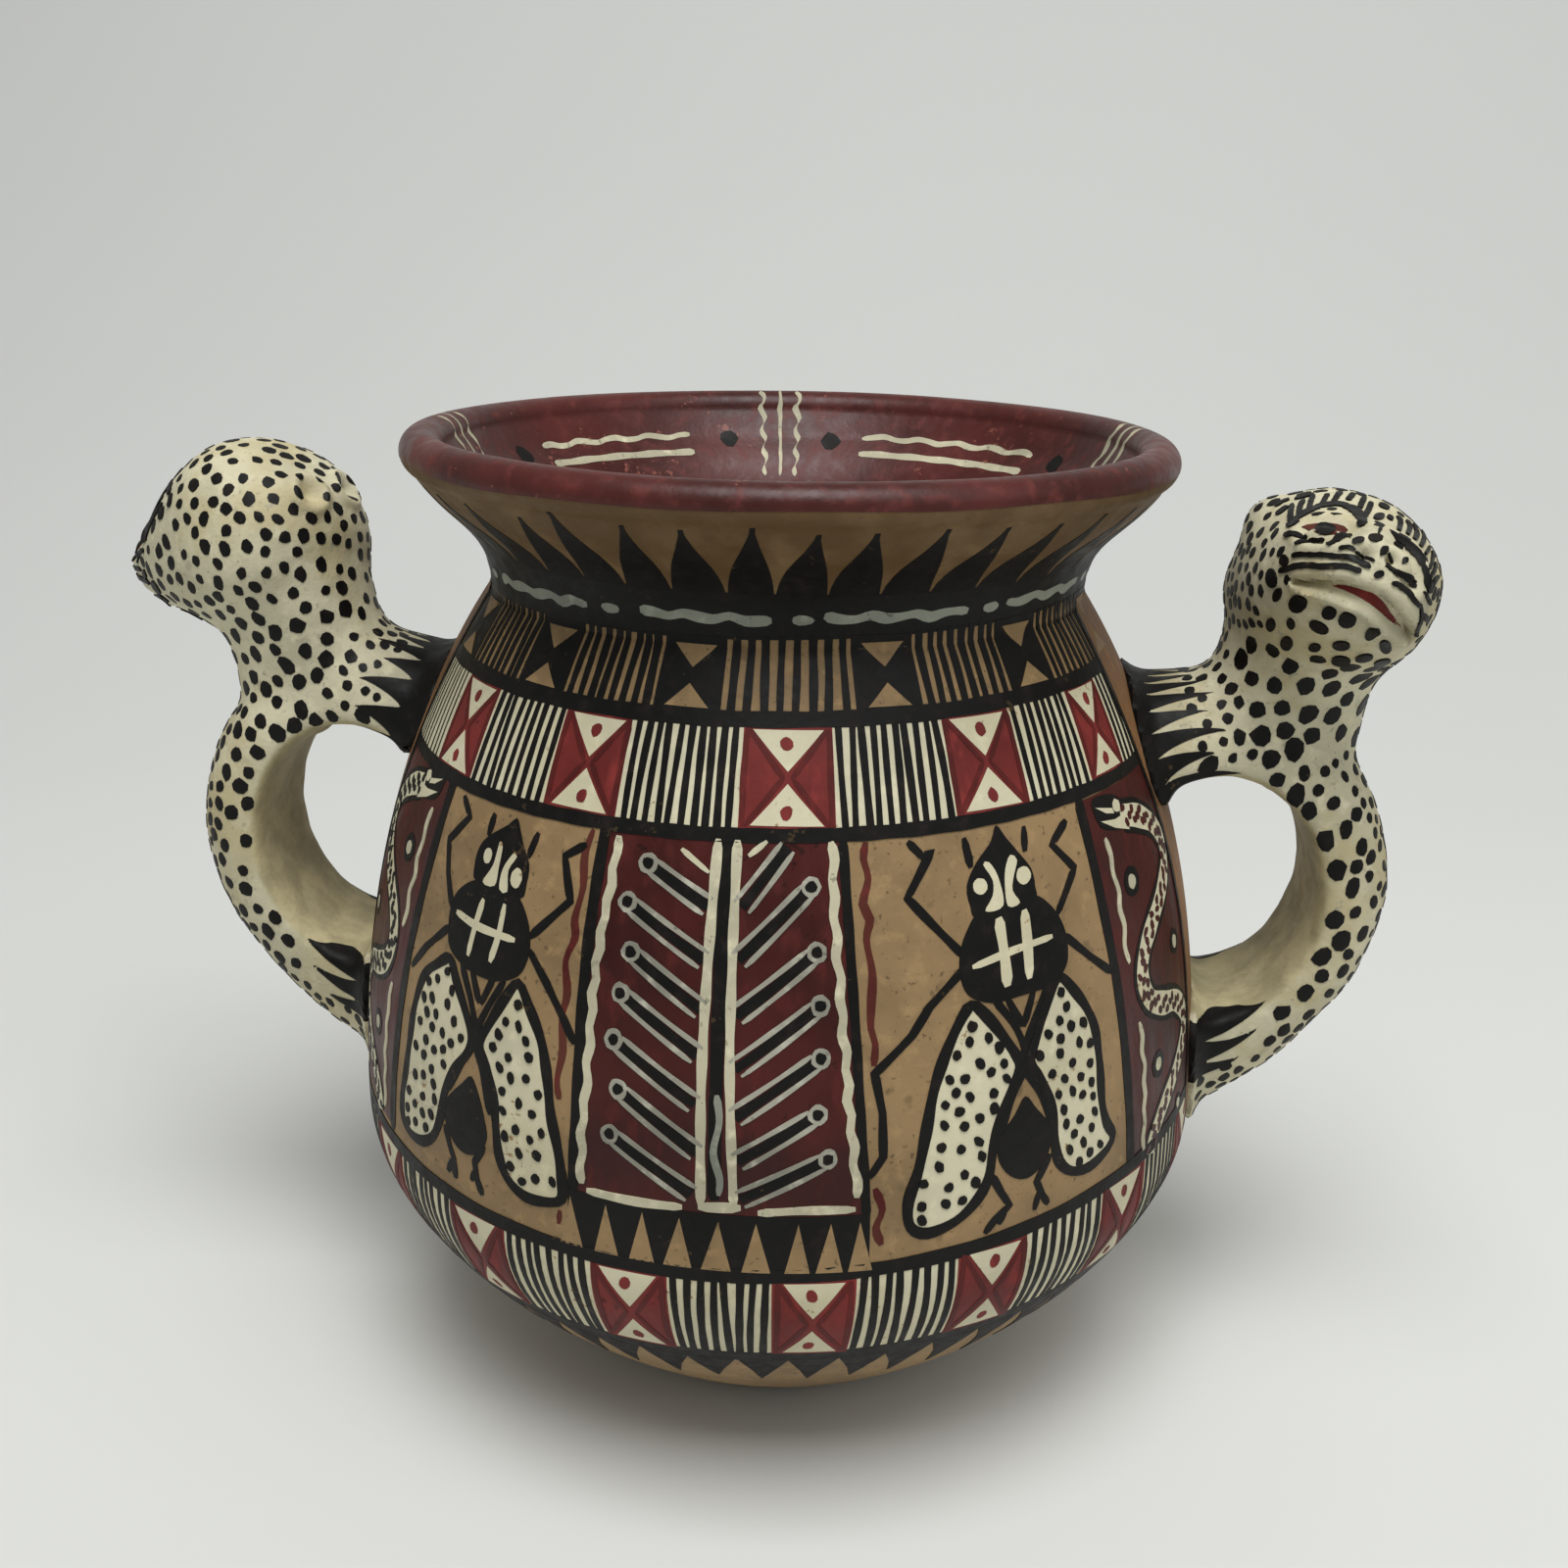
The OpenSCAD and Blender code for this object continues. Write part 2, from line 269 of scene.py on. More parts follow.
def slip(kind):
    """The material of one slip or clay, made from the colours in the panel"""
    pick = bpy.context.scene.vase_slips
    tan, cream, black, maroon, red = (tuple(colour) for colour in
                                      (pick.clay, pick.cream, pick.black, pick.maroon, pick.red))
    bare = shade(tan, 0.92, 0.72, 0.66)
    rim = shade(maroon, 1.47, 2.2, 2.35)
    pale = shade(cream, 0.56, 0.58, 0.66)
    grey = shade(cream, 0.42, 0.47, 0.53)
    upright, down = (1.0, 1.0, 0.35), (1.0, 1.0, 0.3)
    # For each slip: its name, main, deep and pale colour, roughness and gloss, then its wear
    recipes = {
        # The clay's neck is darkened with painted shade, for the shadow that the lip casts
        "clay": (("tan_clay", tan, shade(tan, 0.68), shade(tan, 1.2), 0.55, 0.25),
                 dict(grit=0.6, worn=shade(tan, 0.45), speck=0.7,
                      painted_shade_above=(0.116, 0.130, shade(tan, 0.34, 0.28, 0.2)))),
        "strip": (("strip_clay", bare, shade(bare, 0.6), shade(bare, 1.3), 0.6, 0.2),
                  dict(brush=(1.0, 1.0, 0.25), grit=0.6, worn=shade(bare, 0.4), wear=0.03, speck=0.4)),
        "cream": (("cream_slip", cream, shade(cream, 0.84), shade(cream, 1.1), 0.55, 0.25),
                  dict(grit=0.5, worn=shade(tan, 0.95), wear=0.012,
                       stain=(0.35, shade(cream, 0.78, 0.72, 0.6)))),
        "handle_cream": (("handle_cream_slip", cream, shade(cream, 0.76), shade(cream, 1.1), 0.62, 0.15),
                         dict(grit=1.1, worn=shade(cream, 0.6), wear=0.02, speck=0.4,
                              attribute=("inner_face", shade(cream, 0.86, 0.81, 0.68)),
                              stain=(0.75, shade(cream, 0.74, 0.67, 0.52)))),
        "black": (("black_slip", black, shade(black, 0.55), shade(black, 2.6, 2.0, 1.7), 0.5, 0.16),
                  dict(worn=shade(tan, 0.16))),
        "maroon": (("maroon_slip", maroon, shade(maroon, 0.5), shade(maroon, 1.45), 0.45, 0.25),
                   dict(brush=upright, worn=shade(maroon, 0.4), wear=0.03)),
        "rim": (("rim_slip", rim, shade(rim, 0.5), shade(rim, 1.45), 0.4, 0.3),
                dict(worn=shade(rim, 2.4, 3.8, 3.4), wear=0.008)),
        "red": (("red_slip", red, shade(red, 0.62), shade(red, 1.4), 0.55, 0.18),
                dict(brush=down, worn=shade(red, 0.5), wear=0.03)),
        "deep_red": (("deep_red_slip", shade(red, 0.55), shade(red, 0.35), shade(red, 0.85), 0.55, 0.18),
                     dict(brush=down)),
        "rust": (("rust_slip", shade(red, 0.55, 1.15, 0.85), shade(red, 0.35), shade(red, 0.8), 0.55, 0.15),
                 {}),
        "white": (("white_slip", shade(cream, 0.86), shade(cream, 0.6), shade(cream, 1.12), 0.55, 0.2),
                  dict(worn=shade(cream, 0.45), wear=0.03)),
        "pale_grey": (("pale_grey_slip", pale, shade(pale, 0.55), shade(pale, 1.5), 0.55, 0.2),
                      dict(worn=shade(pale, 0.45), wear=0.03)),
        "grey": (("grey_slip", grey, shade(grey, 0.62), shade(grey, 1.3), 0.45, 0.3),
                 dict(worn=shade(grey, 0.4), wear=0.03)),
    }
    named, wear = recipes[kind]
    return slip_material(*named, **wear)


# ---- Mesh helpers ----
def new_piece(name, points, faces, material, smooth=30.0):
    """A mesh piece that rides on the vase, shaded smooth up to so many degrees"""
    mesh = bpy.data.meshes.new(name)
    mesh.from_pydata([tuple(p) for p in points], [], faces)
    mesh.validate()
    mesh.shade_smooth()
    mesh.set_sharp_from_angle(angle=math.radians(smooth))
    mesh.materials.append(material)
    piece = bpy.data.objects.new(name, mesh)
    bpy.context.scene.collection.objects.link(piece)
    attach(piece, BODY)
    return piece


def close_slab(count, triangles, offset=0):
    """Faces of a closed slab: top triangles, the same below, and its side walls"""
    used = set()
    for tri in triangles:
        for i in range(len(tri)):
            used.add((tri[i], tri[(i + 1) % len(tri)]))
    faces = [tuple(offset + i for i in tri) for tri in triangles]
    faces += [tuple(offset + count + i for i in reversed(tri)) for tri in triangles]
    for i, j in sorted(used):
        if (j, i) not in used:
            faces.append((offset + i, offset + count + i, offset + count + j, offset + j))
    return faces


def ring_quads(rows, count, start=0):
    """Quads between rows of points that each close in a ring"""
    return [(start + k * count + i, start + k * count + (i + 1) % count,
             start + (k + 1) * count + (i + 1) % count, start + (k + 1) * count + i)
            for k in range(rows - 1) for i in range(count)]


def smooth_path(points, step, closed=False):
    """Points spaced about a step apart on a smooth curve through the given ones"""
    p = [np.array(q, float) for q in points]
    n = len(p)
    out = []
    for i in range(n if closed else n - 1):
        if closed:
            p0, p1, p2, p3 = p[i - 1], p[i], p[(i + 1) % n], p[(i + 2) % n]
        else:
            p1, p2 = p[i], p[i + 1]
            p0 = p[i - 1] if i else 2 * p1 - p2
            p3 = p[i + 2] if i + 2 < n else 2 * p2 - p1
        parts = max(1, int(math.ceil(np.linalg.norm(p2 - p1) / step)))
        for k in range(parts):
            t = k / parts
            out.append(0.5 * (2 * p1 + (p2 - p0) * t + (2 * p0 - 5 * p1 + 4 * p2 - p3) * t * t
                              + (3 * p1 - p0 - 3 * p2 + p3) * t ** 3))
    if not closed:
        out.append(p[-1])
    return np.array(out)


def straight_path(points, step, closed=False):
    """Points spaced about a step apart on the straight lines between the given ones"""
    p = [np.array(q, float) for q in points]
    if closed:
        p.append(p[0])
    out = []
    for p1, p2 in zip(p, p[1:]):
        parts = max(1, int(math.ceil(np.linalg.norm(p2 - p1) / step)))
        out += [p1 + (p2 - p1) * k / parts for k in range(parts)]
    if not closed:
        out.append(p[-1])
    return np.array(out)


def inside_outline(points, outline):
    """Which of the points lie inside a closed outline, as an array of truth values"""
    x, y = points[:, 0], points[:, 1]
    hit = np.zeros(len(points), bool)
    for (x0, y0), (x1, y1) in zip(outline, np.roll(outline, -1, axis=0)):
        if y0 == y1:
            continue
        crosses = (y0 > y) != (y1 > y)
        hit ^= crosses & (x < (x1 - x0) * (y - y0) / (y1 - y0) + x0)
    return hit


# ---- Slip painted on the wall ----
LEVEL_LIFT = (0.05, 0.10, 0.15, 0.20)
SUNK = -0.12


class WallSlip:
    """Thin closed patches of one slip on the wall, gathered into one piece"""

    def __init__(self, name, kind, level, seed=1):
        self.name, self.kind, self.level = name, kind, level
        self.random = random.Random(seed)
        self.points, self.faces, self.laid = [], [], 0

    def lay(self, places, triangles):
        """One closed patch over (a, s) places, a hair above the patch before it"""
        self.laid += 1
        lift = LEVEL_LIFT[self.level] + 0.0009 * (self.laid % 24)
        a, s = places[:, 0], places[:, 1]
        offset = len(self.points)
        self.points += list(wall_points(a, s, lift)) + list(wall_points(a, s, SUNK))
        self.faces += close_slab(len(places), triangles, offset)

    def field(self, outline, step=1.3, grid=2.4, smooth=False):
        """A filled field inside a closed outline"""
        path = (smooth_path if smooth else straight_path)(outline, step, closed=True)
        area = 0.5 * np.sum(path[:, 0] * np.roll(path[:, 1], -1) - np.roll(path[:, 0], -1) * path[:, 1])
        if area < 0:
            path = path[::-1]
        low, high = path.min(0), path.max(0)
        inner = np.zeros((0, 2))
        if min(high - low) > 2 * grid:
            ax, sx = np.meshgrid(np.arange(low[0] + grid, high[0], grid),
                                 np.arange(low[1] + grid, high[1], grid))
            inner = np.stack([ax.ravel(), sx.ravel()], 1)
            inner = inner[inside_outline(inner, path)]
            if len(inner):
                gap = np.linalg.norm(inner[:, None] - path[None], axis=2).min(1)
                inner = inner[gap > 0.45 * grid]
        every = np.vstack([path, inner])
        found = delaunay_2d_cdt([Vector(p) for p in every], [], [list(range(len(path)))], 1, 1e-6)
        places = np.array([tuple(p) for p in found[0]])
        triangles = []
        for face in found[2]:
            q = places[list(face)]
            turn = (q[1][0] - q[0][0]) * (q[2][1] - q[0][1]) - (q[2][0] - q[0][0]) * (q[1][1] - q[0][1])
            if abs(turn) > 1e-9:
                triangles.append(tuple(face) if turn > 0 else tuple(reversed(face)))
        self.lay(places, triangles)

    def line(self, points, width, smooth=True, step=1.1, blunt=False, waver=0.1, closed=False):
        """A brush line of about one width, with a hand's slight changes"""
        path = (smooth_path if smooth else straight_path)(points, step, closed)
        n = len(path)
        if n < 2:
            return
        scale = np.array([[math.pi / 180 * radius_at(s), 1.0] for s in path[:, 1]])
        real = path * scale
        if closed:
            along = np.roll(real, -1, axis=0) - np.roll(real, 1, axis=0)
        else:
            along = np.gradient(real, axis=0)
        along /= np.maximum(np.linalg.norm(along, axis=1), 1e-9)[:, None]
        across = np.stack([-along[:, 1], along[:, 0]], 1)
        phase, pace = self.random.uniform(0, 6.3), self.random.uniform(0.5, 0.9)
        half = 0.5 * width * (1 + waver * np.sin(phase + pace * np.arange(n)))
        if not blunt and not closed:
            half[0] *= 0.55
            half[-1] *= 0.55
        left = (real + across * half[:, None]) / scale
        right = (real - across * half[:, None]) / scale
        places = np.vstack([right, left])
        last = n if closed else n - 1
        quads = [(i, (i + 1) % n, n + (i + 1) % n, n + i) for i in range(last)]
        self.lay(places, quads)

    def dot(self, a, s, wide, high=None, lean=0.0, sides=10, rough=0.12):
        """A small daub with an uneven edge"""
        high = high or wide
        turn = np.arange(sides) * 2 * math.pi / sides
        size = np.array([1 + self.random.uniform(-rough, rough) for _ in range(sides)])
        x, y = wide * size * np.cos(turn), high * size * np.sin(turn)
        c, d = math.cos(lean), math.sin(lean)
        scale = math.pi / 180 * radius_at(s)
        ring = np.stack([a + (x * c - y * d) / scale, s + x * d + y * c], 1)
        places = np.vstack([ring, [[a, s]]])
        self.lay(places, [(i, (i + 1) % sides, sides) for i in range(sides)])

    def daubs_in(self, outline, size, gap, clear=0.9, lean=0.0):
        """Rows of daubs spread over the inside of an outline"""
        path = smooth_path(outline, 1.2, closed=True)
        low, high = path.min(0), path.max(0)
        put = []
        for _ in range(2600):
            spot = np.array([self.random.uniform(low[0], high[0]), self.random.uniform(low[1], high[1])])
            if put and np.linalg.norm(np.array(put) - spot, axis=1).min() < gap:
                continue
            if not inside_outline(spot[None], path)[0]:
                continue
            if np.linalg.norm(path - spot, axis=1).min() < clear:
                continue
            put.append(spot)
        for a, s in put:
            self.dot(a, s, size * self.random.uniform(0.8, 1.1), size * self.random.uniform(0.95, 1.3),
                     lean + self.random.uniform(-0.4, 0.4))

    def build(self):
        return new_piece(self.name, self.points, self.faces, slip(self.kind))


# Heights of the painted lines, which all tilt a little as the hand went round
def neck_line(a):
    return 138.2 + 1.0 * np.sin(np.radians(a))


def line_a(a):
    return 129.2 + 0.9 * np.sin(np.radians(a))


def line_b(a):
    return 114.7 + 1.0 * np.sin(np.radians(a))


def line_c(a):
    t = np.radians(a)
    return 57.9 + 3.8 * np.sin(t) ** 2 + 1.5 * np.sin(t)


def line_d(a):
    t = np.radians(a)
    return 40.8 + 2.6 * np.sin(t) ** 2 + 2.4 * np.sin(t)


LINE_A_WIDE, LINE_B_WIDE, LINE_C_WIDE = 2.1, 1.8, 2.0
# Triangles' share of a block and their gap, dots' heights and size, stripes (0 fits them in), gap beside
WHITE_FRIEZE = {"share": 0.40, "apex": 0.06, "dots": (2.3, 2.2, 0.95), "stripes": 0, "gap": 0.3}
LOW_FRIEZE = {"share": 0.37, "apex": 0.09, "dots": (2.4, 2.6, 1.0), "stripes": 8, "gap": 0.2}
WHITE_BAND = ((-51.0, 11.2), (-23.6, 11.6), (5.5, 12.8), (34.9, 12.2), (60.0, 10.4))
# Coats of slip: the piece's name, its slip, its level on the wall and its seed
BAND_COATS = (("band_cream", "cream", 0, 23), ("band_black", "black", 1, 24), ("band_red", "red", 1, 25),
              ("band_streaks", "deep_red", 2, 29), ("band_tan", "clay", 3, 26),
              ("band_triangles", "cream", 2, 27), ("band_lines", "black", 2, 22),
              ("band_dots", "red", 3, 28))
PANEL_COATS = (("panel_maroon", "maroon", 0, 32), ("fly_wings", "cream", 0, 33),
               ("panel_rust", "rust", 0, 41), ("panel_black", "black", 1, 34),
               ("snake_cream", "cream", 2, 35), ("panel_white", "white", 2, 36),
               ("fern_outlines", "pale_grey", 2, 43), ("fern_triangles", "clay", 2, 37),
               ("fly_marks", "cream", 2, 38), ("fern_wash", "grey", 3, 39),
               ("snake_spots", "maroon", 3, 44), ("panel_spots", "black", 3, 40))
TAN_BLOCKS = (-64.0, -37.0, -10.0, 21.0, 48.5)
LOW_BLOCKS = (-54.8, -33.6, -12.0, 9.5, 31.3, 53.0)
FOOT_TEETH, FOOT_TOOTH_TIP = 55, 26.8
RIM_EDGE, RIM_DEPTH, RIM_LIFT = 160.2, 196.0, 0.06


# ---- Neck, bands and foot ----
TOOTH_VALLEYS = (-54.5, -46.5, -38.0, -29.5, -21.5, -13.5, -4.5, 3.0, 11.2, 19.5, 27.8, 36.3, 45.0, 53.0,
                 61.5)
TOOTH_BASE, TOOTH_TOP, NECK_BLACK_TOP = 144.2, 157.6, 144.6
TOOTH_TIPS = (-55.5, -46.0, -33.8, -27.3, -16.8, -8.8, 0.5, 8.8, 16.2, 25.6, 34.6, 44.0, 53.2, 62.5)
TOOTH_GAP = 8.6
NECK_DASHES = ((-58, -31), (-20, 2.5), (11, 36.5), (45, 69), (81, 103), (113, 137), (147, 171), (181, 204),
               (214, 237), (247, 269), (279, 292))
TOOTH_EDGE = ((0.0, 0.02), (0.14, 0.09), (0.28, 0.19), (0.41, 0.31), (0.55, 0.48), (0.68, 0.65), (0.8, 0.79),
              (0.9, 0.9))


def tooth_valleys():
    """Angles of the gaps between the flame teeth, the front ones as painted"""
    places = list(TOOTH_VALLEYS)
    free = 360.0 - (places[-1] - places[0])
    count = round(free / TOOTH_GAP)
    return places + [places[-1] + free * k / count for k in range(1, count)]


def paint_neck():
    """The black neck band with its flame teeth, and the pale dashes on it"""
    hand = random.Random(11)
    black = WallSlip("neck_black", "black", 0, seed=12)
    for first in range(0, 360, 20):
        arc = np.linspace(first - 0.2, first + 20.2, 14)
        low = [(a, float(neck_line(a))) for a in arc]
        black.field(low + [(a, NECK_BLACK_TOP) for a in arc[::-1]], step=1.2, grid=1.0)
    valleys = tooth_valleys()
    for i, left in enumerate(valleys):
        right = valleys[i + 1] if i + 1 < len(valleys) else valleys[0] + 360.0
        middle = (left + right) / 2
        turn = (middle + 180.0) % 360.0 - 180.0
        if abs(turn) > 90:
            turn = math.copysign(180, turn) - turn
        side = max(-1.0, min(1.0, turn / 34.0))
        if i < len(TOOTH_TIPS):
            tip = TOOTH_TIPS[i]
        else:
            tip = middle + 0.42 * side * (right - left) + hand.uniform(-0.5, 0.5)
        top = TOOTH_TOP + hand.uniform(-0.8, 0.6) - 1.3 * max(0.0, abs(side) - 0.9) * 8
        edges = []
        for base in (left, right):
            bow = hand.uniform(-0.03, 0.03)
            edges.append([(base + (tip - base) * (share + bow * math.sin(math.pi * up)),
                           TOOTH_BASE + (top - TOOTH_BASE) * up) for up, share in TOOTH_EDGE])
        black.field(edges[0] + [(tip - 0.35, top - 0.4), (tip + 0.35, top - 0.3)] + edges[1][::-1],
                    step=0.9, grid=1.2)
    pale = WallSlip("neck_dashes", "grey", 1, seed=14)
    for start, end in NECK_DASHES:
        steps = np.arange(start, end, 2.6)
        lean = 141.0 + 0.6 * math.sin(math.radians(start))
        path = [(a, lean + 0.3 * math.sin(0.85 * a + start) + hand.uniform(-0.12, 0.12)) for a in steps]
        pale.line(path + [(end, lean)], 1.3, waver=0.16)
        pale.dot(end + 5.0, lean + 0.1, 1.4, 0.7, rough=0.1)
    return [black.build(), pale.build()]


def hourglass(slip_coat, middle, wide, low, high, share=0.36, apex=0.08):
    """The two triangles of one block, point to point, in the ground's own slip"""
    half, tall = wide * share, high - low
    centre = (low + high) / 2
    slip_coat.field([(middle - half, high - 0.25), (middle, centre + apex * tall),
                     (middle + half, high - 0.25)], grid=1.1)
    slip_coat.field([(middle - half * 0.95, low + 0.25), (middle + half * 0.95, low + 0.25),
                     (middle, centre - apex * tall)], grid=1.1)


def stripes(slip_coat, start, end, low, high, count, wide, hand):
    """Upright brush stripes between two blocks"""
    for k in range(count):
        a = start + (end - start) * (k + 0.5) / count + hand.uniform(-0.12, 0.12)
        slant = hand.uniform(-0.25, 0.25)
        bottom, top = float(low(a)) - 0.4, float(high(a)) + 0.4
        slip_coat.line([(a - slant, bottom), (a + hand.uniform(-0.12, 0.12), (bottom + top) / 2),
                        (a + slant, top)], wide * hand.uniform(0.85, 1.12), blunt=True, waver=0.07)


def paint_block(red, streaks, middle, wide, low, high, hand):
    """One red block with the darker strokes its brush left round the edges"""
    half, centre = wide / 2, (low + high) / 2
    red.field([(middle - half, low), (middle + half, low), (middle + half - hand.uniform(-0.3, 0.3), high),
               (middle - half - hand.uniform(-0.3, 0.3), high)], grid=1.8)
    for side in (-1, 1):
        edge, corner = middle + side * (half - 0.5), middle + side * (0.42 * wide + 0.2)
        streaks.line([(edge, low + 0.4), (edge + hand.uniform(-0.2, 0.2), centre), (edge, high - 0.4)], 0.75)
        for end in (low + 0.5, high - 0.5):
            streaks.line([(corner, end), (middle + side * 0.6, centre)], 0.7)


def band_edges(first, count):
    """Block middles all the way round, the front ones as painted"""
    free = 360.0 - (first[-1] - first[0])
    extra = count - len(first)
    return list(first) + [first[-1] + free * k / (extra + 1) for k in range(1, extra + 1)]


def paint_frieze(coats, blocks, widths, low_line, high_line, shape, hand):
    """One frieze of red hourglass blocks with upright stripes between them"""
    red, streaks, cream, spots, black = coats
    for i, middle in enumerate(blocks):
        low, high = float(low_line(middle)) - 0.3, float(high_line(middle)) + 0.3
        wide, next_wide = widths[i], widths[min(i + 1, len(blocks) - 1)]
        paint_block(red, streaks, middle, wide, low, high, hand)
        hourglass(cream, middle, wide, low + 0.3, high - 0.3, share=shape["share"], apex=shape["apex"])
        for s in (high - shape["dots"][0], low + shape["dots"][1]):
            spots.dot(middle + hand.uniform(-0.3, 0.3), s, 0.75, shape["dots"][2], hand.uniform(-0.6, 0.6))
        after = blocks[i + 1] if i + 1 < len(blocks) else blocks[0] + 360.0
        count = shape["stripes"] or max(7, round((after - middle - wide / 2 - next_wide / 2) / 1.75))
        stripes(black, middle + wide / 2 + shape["gap"], after - next_wide / 2 - shape["gap"],
                low_line, high_line, count, 0.92, hand)


def paint_bands():
    """Three banded friezes, the lines between them and the dark foot teeth"""
    hand = random.Random(21)
    every = [WallSlip(*coat) for coat in BAND_COATS]
    ground, black, red, streaks, tan, cream, lines, spots = every
    for first in range(0, 360, 20):
        arc = np.linspace(first - 0.2, first + 20.2, 12)
        for top, bottom in ((lambda a: line_a(a) - LINE_A_WIDE + 0.3, lambda a: line_b(a) - 0.3),
                            (lambda a: line_c(a) - LINE_C_WIDE + 0.3, lambda a: line_d(a) - 0.3)):
            ground.field([(a, float(bottom(a))) for a in arc] + [(a, float(top(a))) for a in arc[::-1]])
    for edge, wide in ((line_a, LINE_A_WIDE), (line_b, LINE_B_WIDE), (line_c, LINE_C_WIDE)):
        path = [(a, float(edge(a)) - wide / 2 + 0.1 * math.sin(0.17 * a) * math.sin(0.5 * math.radians(a)))
                for a in np.arange(0, 361, 3.0)]
        lines.line(path, wide, blunt=True, waver=0.05)

    blocks = band_edges(TAN_BLOCKS, 13)
    for i, middle in enumerate(blocks):
        low, high = float(line_a(middle)) - 0.3, float(neck_line(middle)) + 0.3
        black.field([(middle - 5.3, low), (middle + 5.3, low), (middle + 5.2, high), (middle - 5.4, high)],
                    step=1.0, grid=1.0)
        hourglass(tan, middle, 10.4, low + 0.2, high - 0.7, share=0.35, apex=0.12)
        after = blocks[i + 1] if i + 1 < len(blocks) else blocks[0] + 360.0
        stripes(black, middle + 5.6, after - 5.6, line_a, neck_line, 8, 1.0, hand)

    coats = (red, streaks, cream, spots, black)
    widths = [wide for _, wide in WHITE_BAND] + [11.8] * 8
    paint_frieze(coats, band_edges([a for a, _ in WHITE_BAND], 13), widths,
                 line_b, lambda a: line_a(a) - LINE_A_WIDE, WHITE_FRIEZE, hand)
    paint_frieze(coats, band_edges(LOW_BLOCKS, 17), [9.4] * 17,
                 line_d, lambda a: line_c(a) - LINE_C_WIDE, LOW_FRIEZE, hand)

    for first in range(0, 360, 20):
        arc = np.linspace(first - 0.2, first + 20.2, 12)
        black.field([(a, float(line_d(a)) - 3.0) for a in arc] + [(a, float(line_d(a))) for a in arc[::-1]])
    for k in range(FOOT_TEETH):
        a = -62.0 + 360.0 * k / FOOT_TEETH + hand.uniform(-0.4, 0.4)
        top = float(line_d(a)) - 2.8
        tip = (a + hand.uniform(-0.4, 0.4), FOOT_TOOTH_TIP + hand.uniform(-1, 1))
        black.field([(a - 3.35, top), (a - 1.5, top - 5.2), tip, (a + 1.5, top - 5.2), (a + 3.35, top)],
                    grid=2.0)
    return [coat.build() for coat in every]


# ---- Panels: fern, flies and snakes ----
FERN_LEFT = ((-18.8, 113.6), (-18.9, 98), (-18.6, 80), (-18.8, 65))
FERN_RIGHT = ((12.7, 113.6), (13.1, 104), (13.7, 92), (14.3, 80), (14.8, 72), (15.2, 65))
FERN_STEM = ((-2.1, 114), (-2.1, 98), (-2.0, 83), (-1.9, 67.5))
FERN_WEST = (((-12.2, 109.4), (-4, 104.8)), ((-14.3, 104.3), (-4.1, 98.2)), ((-13.2, 98.2), (-4.1, 92)),
             ((-14, 92.9), (-4.3, 86.3)), ((-14.4, 86.9), (-4.4, 80)), ((-13.5, 80.6), (-4, 73.7)),
             ((-14.3, 74.5), (-4.5, 68)))
FERN_EAST = (((8.6, 107.7), (0, 98.5)), ((9.3, 99.7), (0, 91.6)), ((9.7, 93.1), (0.1, 84.9)),
             ((9.8, 86.5), (0.2, 78.7)), ((9.5, 79.3), (0.6, 72.9)), ((10.7, 73.4), (1, 67.8)))
